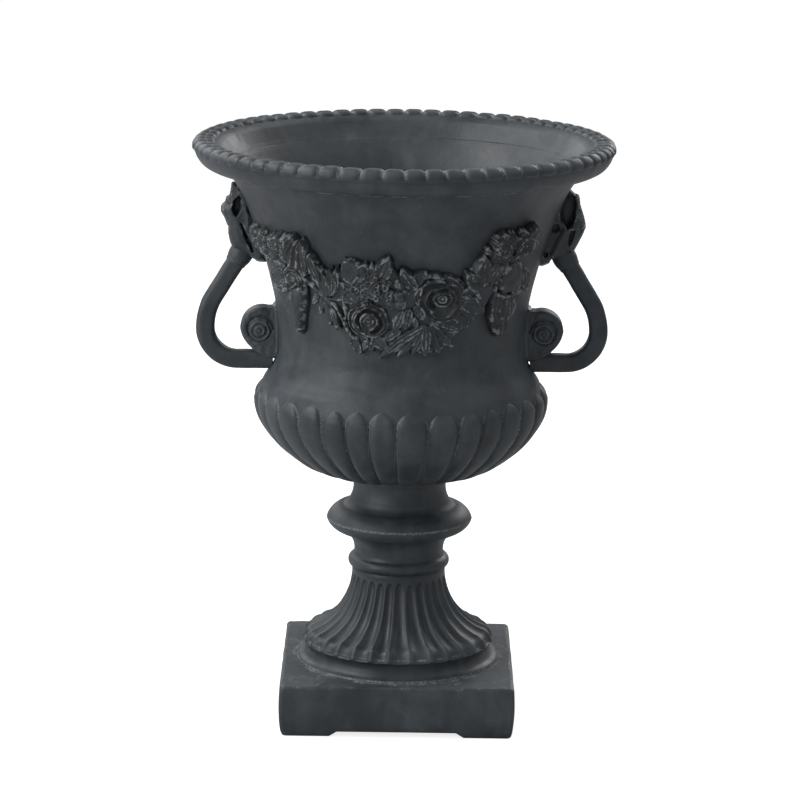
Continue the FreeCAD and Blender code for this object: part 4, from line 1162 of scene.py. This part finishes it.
def garland():
    """Every sprig on the front, and again on the back."""
    for index, (name, (build, window)) in enumerate(SPRIGS.items()):
        verts, quads, ridge, cavity_shade = sprig_mesh(build, window, 100 + 3 * index)
        for side, sign in (("front", 1), ("back", -1)):
            node = name + "_" + side
            make_piece(node + "_carving", verts * (sign, sign, 1), quads, CARVED, "relief_stone", [node],
                       ridge, cavity_shade)


# ---- handles, made on the right and turned half round for the left ----

def handle_path():
    """The bar's centre line in the XZ plane: a straight fall, two turns and a flat run into the scroll."""
    fall, run = 62.0, 37.0

    def on_bend(radius, angle):
        """A place on a bend whose middle lies level with BEND_HEIGHT; angle is up from level."""
        return (BAR_REACH - radius + radius * math.cos(angle), BEND_HEIGHT + radius * math.sin(angle))

    lean = math.radians(90) - BAR_SLOPE
    end_fall = on_bend(UPPER_BEND, lean)
    start = (end_fall[0] - fall * math.cos(BAR_SLOPE), end_fall[1] + fall * math.sin(BAR_SLOPE))
    foot = (BAR_REACH - LOWER_BEND, BEND_HEIGHT - LOWER_BEND)
    return outline(start, [end_fall, (on_bend(UPPER_BEND, lean / 2), (BAR_REACH, BEND_HEIGHT)),
                           (on_bend(LOWER_BEND, -math.pi / 4), foot), (foot[0] - run, foot[1])], 1.6)


def handle_bar():
    """The bar: round, a little flattened along its outer edge."""
    path = handle_path()
    along = np.gradient(path, axis=0)
    along /= np.linalg.norm(along, axis=1)[:, None]
    outward = np.stack([-along[:, 1], along[:, 0]], 1)
    sides = 48
    phi = angles_round(sides)
    section = (np.abs(np.cos(phi) / 9.7) ** 3.4 + np.abs(np.sin(phi) / 9.1) ** 3.4) ** (-1 / 3.4)
    u, v = section * np.cos(phi), section * np.sin(phi)
    rings = [np.column_stack([x + nx * u, v, z + nz * u]) for (x, z), (nx, nz) in zip(path, outward)]
    poles = np.array([[path[0][0], 0, path[0][1]], [path[-1][0], 0, path[-1][1]]])
    rings = [0.5 * rings[0] + 0.5 * poles[:1]] + rings + [0.5 * rings[-1] + 0.5 * poles[1:]]
    grid = np.vstack(rings)
    verts = np.vstack([grid + 0.25 * wobble(grid, 12.0, (91, 92, 93)), poles])
    edge = np.exp(-((phi + math.pi) % TAU - math.pi) ** 2 / 0.12)
    dust = np.concatenate([np.tile(edge, len(rings)), [0, 0]]) * (0.30 + 0.25
            * lattice_noise(verts, 20.0, 94))
    return verts, capped_tube(len(rings), sides), dust


def scroll_block():
    """The scroll: a rounded block with a carved face on each side."""
    shape = outline((118.0, 431.0), [
        (140.0, 430.5), ((162.3, 424.3), (168.5, 409.5)), ((164.4, 397.2), (157.0, 388.5)),
        ((152.0, 383.6), (146.0, 380.6)), ((138.0, 377.6), (130.0, 377.0)), (118.0, 384.0),
        (118.0, 431.0)], 1.2)[:-1]
    centre = np.array([146.0, 405.0])
    count = len(shape)
    shares = np.concatenate([np.linspace(0, 0.9, 30)[1:], np.linspace(0.9, 1.0, 10)[1:]])
    top_rings, dust_rings, groove_shade_rings = [], [], []
    for share in shares:
        xz = centre + (shape - centre) * share
        inside = (1 - share) * np.linalg.norm(shape - centre, axis=1)
        edge = np.clip(inside / 4.0, 0, 1)
        y = 9.0 + 4.0 * dome(edge)
        ds, dz = xz[:, 0] - EYE[0], xz[:, 1] - 408.0
        rho = np.hypot(ds, dz)
        turn = np.arctan2(dz, ds)
        spiral = rho - (12.5 + 2.2 * turn / math.pi)
        groove = peak(spiral, 0, 1.5) * (rho < 19)
        pitted = plan_noise(xz[:, 0], xz[:, 1], (4.5, 95, 0.5), (2.2, 96, 0.35))
        y = y - 1.5 * groove + pitted * edge * 1.2
        top_rings.append(np.column_stack([xz[:, 0], y, xz[:, 1]]))
        dust_rings.append(0.25 * peak(spiral, 2.0, 1.0) + 0.35 * np.clip(pitted, 0, 1) + 0.25 * (1 - edge))
        # painted shade in the spiral groove
        groove_shade_rings.append(groove * 0.6)
    back = np.vstack(top_rings)
    verts = np.vstack([back * (1, -1, 1), back, [[centre[0], -12.6, centre[1]],
                                                 [centre[0], 12.6, centre[1]]]])
    base = len(back)
    last = base - count
    k = np.arange(count)
    step = (k + 1) % count
    face = ring_quads(len(shares), count, close_rows=False)
    quads = [face, face[:, ::-1] + base,
             np.column_stack([last + k, last + step, base + last + step, base + last + k]),
             fan(step, k, 2 * base), fan(base + k, base + step, 2 * base + 1)]
    dust = np.concatenate([np.tile(np.concatenate(dust_rings), 2), [0.2, 0.2]])
    hollow = np.concatenate([np.tile(np.concatenate(groove_shade_rings), 2), [0, 0]])
    return verts, np.vstack(quads), dust, hollow


def joined(parts):
    """Several closed shells as one mesh: each part is verts, quads, dust, hollow."""
    verts, quads, dust, hollow, base = [], [], [], [], 0
    for part in parts:
        v, q = np.asarray(part[0], float), np.asarray(part[1], int)
        verts.append(v)
        quads.append(flip_if_inside_out(v, q) + base)
        dust.append(part[2] if len(part) > 2 else np.zeros(len(v)))
        hollow.append(part[3] if len(part) > 3 else np.zeros(len(v)))
        base += len(v)
    return np.vstack(verts), np.vstack(quads), np.concatenate(dust), np.concatenate(hollow)


def both_sides(node, parts):
    """The same shells on the right handle and, turned half round, on the left one."""
    verts, quads, dust, hollow = joined(parts)
    for side, sign in (("right", 1), ("left", -1)):
        name = node + "_" + side
        make_piece(name + "_cast", verts * (sign, sign, 1), quads, STONE, "cast_stone", [name], dust, hollow)


def wall_pad():
    """The low pad where the scroll meets the wall."""
    middle = math.radians(90) * UNROLLED_RADIUS
    corners = [(middle + u, z) for u, z in ((-21, 383), (-21, 430), (-16, 434), (16, 434), (21, 430),
                                            (21, 383))]

    def build(S, Z):
        return pad(S, Z, corners, 2.6, 2.0)
    verts, quads, dust, hollow = sprig_mesh(build, (middle - 26, middle + 26, 378, 439), 97)
    # a faint dry brush on the pad, and faint painted shade in its recesses
    return verts, quads, 0.15 * dust, 0.3 * hollow


def turned_shell(profile, origin, axis, sides=40):
    """A small turned shape: profile of (radius, along) points from one pole to the other."""
    origin, axis = np.asarray(origin), np.asarray(axis, float) / np.linalg.norm(axis)
    first = np.cross(axis, (0, 1, 0))
    first = first / np.linalg.norm(first) if np.linalg.norm(first) > 0.1 else np.array([1.0, 0, 0])
    second = np.cross(axis, first)
    phi = angles_round(sides)
    rings = [origin + r * (np.cos(phi)[:, None] * first + np.sin(phi)[:, None] * second) + t * axis
             for r, t in profile]
    poles = [origin + profile[0, 1] * axis, origin + profile[-1, 1] * axis]
    return np.vstack(rings + [poles]), capped_tube(len(profile), sides)


def scroll_eyes():
    """The turned eye on each face of the scroll."""
    shells = []
    for sign in (-1, 1):
        profile = outline((10.9, -1.0), [(10.9, 0.2), ((10.4, 1.5), (8.8, 1.7)), ((7.4, 0.9), (6.2, 1.5)),
                                         ((4.2, 2.9), (2.8, 2.0)), ((1.6, 2.6), (0.4, 2.7))], 0.6)
        verts, quads = turned_shell(profile, (EYE[0], sign * 13.0, EYE[1]), (0, sign, 0))
        verts = verts + 0.6 * wobble(verts, 4.0, (98, 99, 90))
        ring = np.linalg.norm(verts[:, [0, 2]] - EYE, axis=1)
        dust = 0.5 * peak(ring, 9.2, 0.8) + 0.35 * peak(ring, 3.5, 1.4)
        # painted shade in the eye's ring groove
        hollow = 0.6 * peak(ring, 7.4, 0.8)
        shells.append((verts, quads, dust, hollow))
    both_sides("scroll_eyes", shells)


def calyx():
    """The egg-shaped cup that the bar hangs from."""
    path = handle_path()
    uphill = path[0] - path[4]
    uphill = np.array([uphill[0], 0, uphill[1]]) / np.linalg.norm(uphill)
    start = np.array([path[0][0], 0, path[0][1]]) - 18.0 * uphill
    profile = outline((9.2, -4.0), [((10.6, -2.6), (11.0, 0.0)), ((12.6, 7.0), (12.2, 14.0)),
                                    ((10.2, 22.0), (1.0, 27.0))], 0.9)
    verts, quads = turned_shell(profile, start, uphill, 56)
    away = verts - start
    along = away @ uphill
    worn = lattice_noise(verts, 9.0, 89)
    dust = 0.35 * peak(along, 1.0, 1.0) + 0.15 * np.clip(worn, 0, 1)
    both_sides("calyx", [(verts, quads, dust)])


# the leaf bosses are drawn as (out, up): how far from the urn's axis, and height. Their two faces are alike.

def boss_leaf(X, Z, corners, ridge, high, fold, lean=0.0):
    """A thick leaf: a polygon that rises to a sharp fold along a line from its root to its tip."""
    inside = distance_inside(X, Z, corners)
    t, away = beside_line(X, Z, *ridge)
    bevel = 1.6
    top = high - 0.30 * fold * away + lean * t + bevel * dome(np.clip(inside / bevel, 0, 1)) - bevel
    return top + drop_off(inside, 3)


def scooped(h, X, Z, corners, deep, wall):
    """h with a hollow of this plan pressed into it."""
    inside = np.clip(distance_inside(X, Z, corners), 0, wall) / wall
    return h - deep * dome(inside)


def rounded_mass(X, Z, corners, deep, edge=1.2, round_off=13.0):
    """A thick body with a rounded border."""
    inside = distance_inside(X, Z, corners)
    return edge + (deep - edge) * dome(np.clip(inside / round_off, 0, 1)) + drop_off(inside, 8)


def boss_right_relief(X, Z):
    body = [(150, 558), (165, 561), (173.6, 557.5), (179.4, 552), (180.7, 545.5), (181.8, 540),
            (185.6, 532.3), (188.2, 522.4), (186.5, 519.1), (184.5, 511.2), (180.7, 502), (176.8, 494.1),
            (173.6, 492), (168, 489), (160, 487), (154, 485.5), (150, 482), (144.6, 480.3), (138.2, 481.5),
            (134, 492), (138, 510), (146, 535)]
    h = rounded_mass(X, Z, body, 17.0)
    h = scooped(h, X, Z, [(168.2, 554), (164, 545.5), (161.2, 535), (162.4, 526), (165.6, 520.2),
                          (169.4, 517.6), (174.4, 522), (177.8, 532), (178.9, 543), (178.2, 550.4),
                          (173.6, 555)], 10.0, 6.5)
    h = np.maximum(h, stroke(X, Z, [(178.6, 550), (179.6, 541), (177.9, 531), (174.6, 522), (169.6, 517.4)],
                             2.4, 10.5))
    h = scooped(h, X, Z, [(172.2, 517), (178.5, 518.4), (175.6, 508), (172.2, 499), (170.4, 503),
                          (171.0, 511)], 5.0, 2.6)
    outer = [(178.9, 519.4), (185.6, 520.6), (187.2, 517.4), (184.5, 510.5), (180.0, 501.5), (176.2, 494.6),
             (172.8, 493.5), (173.6, 501), (176.4, 511)]
    h = heap(X, Z, [
        (boss_leaf, outer, ((183.4, 519.2), (174.6, 496)), 10.6, 1.6),
        (stroke, [(186.4, 520.2), (182, 517.8), (178.2, 509.9), (175.6, 501.6), (173.4, 495)], 1.7, 12.0),
        (boss_leaf, [(181, 545), (185.6, 532), (188, 523), (183, 522), (178.6, 524), (179.4, 536)],
         ((181.4, 541), (185.4, 525)), 8.2, 2.2),
    ], h)
    sheath = [(166.8, 521.8), (169.6, 517), (170.8, 508), (170.6, 498), (167.4, 492.6), (160.6, 490.2),
              (154.6, 488.2), (150.2, 496), (151.2, 503), (156.0, 508.6), (160.6, 513.6), (163.6, 519.4)]
    h = np.maximum(h, boss_leaf(X, Z, sheath, ((166.6, 516), (156.6, 494)), 19.6, 1.5, -1.0))
    side_leaf = [(147, 519), (152, 526), (157, 527.4), (162.4, 525.4), (164.4, 520), (160, 513.8),
                 (155.6, 508.6), (150.8, 503), (149.6, 496), (144.6, 497), (142.6, 508)]
    h = np.maximum(h, boss_leaf(X, Z, side_leaf, ((153.6, 519), (146.6, 502)), 15.6, 1.2))
    h = scooped(h, X, Z, [(153.6, 524), (160.6, 524), (162.4, 518.6), (157.6, 514.6), (152.6, 516.6)],
                4.2, 3.2)
    h = np.maximum(h, stroke(X, Z, [(149.5, 522), (153.8, 526.2), (159, 527.4), (164.4, 523.6), (168.8, 518)],
                             1.5, 17.2))
    low = [(152.4, 487.4), (150.4, 496), (144, 500), (138, 496), (136, 486), (139, 481.6), (144.6, 480.6),
           (150, 482.6)]
    h = np.maximum(h, boss_leaf(X, Z, low, ((146.6, 496), (142.6, 484)), 15.4, 1.0))
    return scooped(h, X, Z, [(145.2, 495), (150.4, 494), (150.0, 488.4), (146.0, 488.6)], 4.5, 2.4)


def boss_left_relief(X, Z):
    body = [(150, 558), (166, 562), (177.0, 560.4), (177.6, 552.5), (178.8, 546.4), (182.8, 544.8),
            (183.1, 540.6), (188.2, 536), (187.5, 530.7), (183.7, 524.1), (181.7, 516.9), (181.6, 507.6),
            (179.6, 498.4), (177.2, 493.4), (170, 489), (160, 484), (150, 478), (142, 479), (137, 490),
            (139, 512), (146, 536)]
    h = rounded_mass(X, Z, body, 16.5)
    h = scooped(h, X, Z, [(169.8, 549.5), (165.6, 543.5), (166.4, 537.6), (169.9, 530), (172.5, 526.6),
                          (175.4, 529.4), (177.6, 535.3), (175.4, 543.6)], 9.5, 4.0)
    h = heap(X, Z, [
        (boss_leaf, [(174, 560), (177.4, 560), (177.6, 552), (178.9, 546), (182.8, 544.6), (183, 540.6),
                     (188, 536), (184, 533), (178.2, 535), (175.4, 545), (170.4, 552)],
         ((175, 557), (185, 536.4)), 9.0, 2.4),
        (boss_leaf, [(187.6, 535.4), (187.2, 530.7), (183.7, 524.1), (181.6, 517), (176.6, 519), (173.6, 526),
                     (177, 530), (181, 534)], ((185.4, 532), (176.6, 522)), 11.4, 1.8),
        (stroke, [(171.4, 551), (176.2, 543.4), (178.4, 535.2), (175.6, 528.6), (172.4, 525.4)], 1.8, 11.6),
    ], h)
    curl = np.hypot(X - 168.2, Z - 556.2)
    h = np.maximum(h, 13.2 - 0.5 * np.abs(curl - 3.0) + drop_off(4.2 - curl, 3)) - 2.4 * peak(curl, 0, 1.5)
    upper = [(168.2, 546.6), (163.4, 545.2), (159.6, 541.4), (156.2, 539.6), (153.4, 533.4), (150.2, 529.4),
             (147.2, 521.4), (147.0, 517.4), (155, 514.6), (163.1, 512.6), (168.4, 517.4), (169.6, 524),
             (167.0, 533)]
    h = heap(X, Z, [
        (boss_leaf, upper, ((161, 536), (160, 517)), 17.8, 1.0),
        (stroke, [(164.6, 544.4), (159.6, 541.2), (155.8, 537.4), (152.2, 531.6), (147.6, 521.8)], 1.6, 18.4),
    ], h)
    h = scooped(h, X, Z, [(162.4, 539.6), (157.6, 536.4), (155.4, 531), (158.4, 529.6), (162, 533.6)],
                2.6, 2.2)
    h = scooped(h, X, Z, [(168.8, 521.6), (166.4, 519.8), (161.6, 509.6), (157.0, 500), (154.0, 490),
                          (156.0, 489), (160.0, 497.6), (164.6, 507.6)], 7.0, 1.9)
    h = np.maximum(h, posy_mass(X, Z, (152.6, 503.6), (8.6, 8.2), 15.6, 16, 301, 2.2, 3.8))
    low = [(158.2, 497), (154.6, 489.4), (150.6, 480.6), (143.4, 479.8), (139.6, 486), (141, 495),
           (148, 498.6)]
    return np.maximum(h, boss_leaf(X, Z, low, ((148.6, 495), (147.6, 482.6)), 12.8, 1.2))


def leaf_boss():
    """Curling leaves round the head of each handle, with a hollow between them that painted shade darkens."""
    for side, sign, relief, seed in (("right", 1, boss_right_relief, 260),
                                     ("left", -1, boss_left_relief, 280)):
        X, Z = np.meshgrid(np.arange(133.0, 189.5, BOSS_GRID), np.arange(477.0, 563.5, BOSS_GRID))
        h = relief(X, Z)
        rough = plan_noise(X, Z, (7.0, seed, 0.5), (2.6, seed + 1, 0.22))
        shown = np.clip(h, 0.6, None)
        h = 0.7 * shown + 0.3 * blurred(shown, 1.0) + rough * np.clip(shown / 6, 0, 1)
        ridge, cavity_shade = brush_and_shade(h, np.clip(h, 0.6, None))
        used, quads = sheet_faces(full_quads(relief(X, Z) > 0.3))
        out, up, depth = X[used], Z[used], np.clip(h, 0.5, 19.8)[used]
        verts = np.vstack([np.column_stack([out, -depth, up]), np.column_stack([out, depth, up])])
        # painted shade in the boss's recesses, stronger than on the garland
        deep = np.clip(cavity_shade * 1.3, 0, 1)
        make_piece("leaf_boss_" + side + "_carving", verts * (sign, 1, 1), quads, CARVED, "relief_stone",
                   ["leaf_boss_" + side], np.tile(0.55 * ridge[used], 2), np.tile(deep[used], 2))


rope_rim()
bell()
gadroon_cup()
stem()
fluted_socle()
plinth()
garland()
both_sides("handle", [handle_bar(), scroll_block(), wall_pad()])
scroll_eyes()
calyx()
leaf_boss()
for side in ("left", "right"):
    core = frame["nodes"]["handle_core_" + side]
    core.data.materials.clear()
    core.data.materials.append(STEEL)

# ---- floor, light and camera, in metres ----

MIDDLE = (0, 0, 0.35)
# name, place, width and height, watts
LAMPS = [
    ("window_left", (-1.67, 0.05, 2.34), (1.5, 1.3), 39),
    ("low_left", (-2.06, -1.44, 1.02), (1.3, 1.3), 22),
    ("window_right", (1.67, 0.15, 2.34), (1.3, 1.3), 4.6),
    ("behind_right", (1.18, 2.04, 1.45), (1.3, 1.3), 17.5),
    ("behind_left", (-1.18, 2.04, 1.45), (1.3, 1.3), 11.3),
]
CAMERA_PLACE = (0, -3.612, 1.154)
CAMERA_TILT = math.radians(77.18)
# the urn in the photograph leans a little, and a roll of the camera stands in for that
CAMERA_ROLL = math.radians(0.8)
CAMERA_SHIFT = -0.001
LENS_MM = 158.9
SENSOR_MM = 36.0


def backdrop_finish():
    """White to the camera, and still darkened a little where the object shades it."""
    f = Finish("backdrop_white")
    seen = f.wire("ShaderNodeLightPath", output=0)
    glow = f.wire("ShaderNodeEmission", {}, {"Color": (1, 1, 1, 1), "Strength": 0.80})
    plain = f.wire("ShaderNodeBsdfDiffuse", {}, {"Color": (0.55, 0.55, 0.55, 1)})
    both = f.wire("ShaderNodeAddShader", {}, [glow, plain])
    shader = f.wire("ShaderNodeMixShader", {}, [seen, plain, both])
    return f.done(shader)


def backdrop():
    """The floor that the urn stands on."""
    mesh = bpy.data.meshes.new("backdrop_floor")
    reach = 14.0
    corners = [(-reach, -reach, 0), (reach, -reach, 0), (reach, reach, 0), (-reach, reach, 0)]
    mesh.from_pydata(corners, [], [(0, 1, 2, 3)])
    mesh.materials.append(backdrop_finish())
    floor = bpy.data.objects.new("backdrop_floor", mesh)
    bpy.context.collection.objects.link(floor)


def softbox(name, place, size, watts):
    """A square-cornered lamp that looks at the middle of the urn. Place and size are in metres."""
    lamp = bpy.data.lights.new(name, "AREA")
    lamp.shape = "RECTANGLE"
    lamp.size, lamp.size_y = size
    lamp.energy = watts
    holder = bpy.data.objects.new(name, lamp)
    holder.location = place
    direction = np.array(MIDDLE, float) - np.array(place, float)
    holder.rotation_euler = Vector(direction).to_track_quat("-Z", "Y").to_euler()
    bpy.context.collection.objects.link(holder)


def world():
    """White behind the urn for the camera, and a softer, cooler white that lights it."""
    made = bpy.data.worlds.new("studio")
    made.use_nodes = True
    tree = made.node_tree
    tree.nodes.clear()
    path = tree.nodes.new("ShaderNodeLightPath")
    white = tree.nodes.new("ShaderNodeBackground")
    white.inputs["Color"].default_value = (1, 1, 1, 1)
    white.inputs["Strength"].default_value = 1.0
    soft = tree.nodes.new("ShaderNodeBackground")
    soft.inputs["Color"].default_value = (0.93, 0.96, 1.0, 1)
    soft.inputs["Strength"].default_value = 0.386
    mix = tree.nodes.new("ShaderNodeMixShader")
    out = tree.nodes.new("ShaderNodeOutputWorld")
    tree.links.new(path.outputs["Is Camera Ray"], mix.inputs[0])
    tree.links.new(soft.outputs[0], mix.inputs[1])
    tree.links.new(white.outputs[0], mix.inputs[2])
    tree.links.new(mix.outputs[0], out.inputs["Surface"])
    bpy.context.scene.world = made


backdrop()
world()
for lamp in LAMPS:
    softbox(*lamp)

camera = bpy.data.cameras.new("camera")
camera.lens = LENS_MM
camera.sensor_width = SENSOR_MM
camera.shift_x = CAMERA_SHIFT
viewpoint = bpy.data.objects.new("camera", camera)
viewpoint.location = CAMERA_PLACE
viewpoint.rotation_euler = (Matrix.Rotation(CAMERA_TILT, 3, "X")
                            @ Matrix.Rotation(CAMERA_ROLL, 3, "Z")).to_euler()
bpy.context.collection.objects.link(viewpoint)
bpy.context.scene.camera = viewpoint
bpy.context.scene.view_settings.view_transform = "Standard"
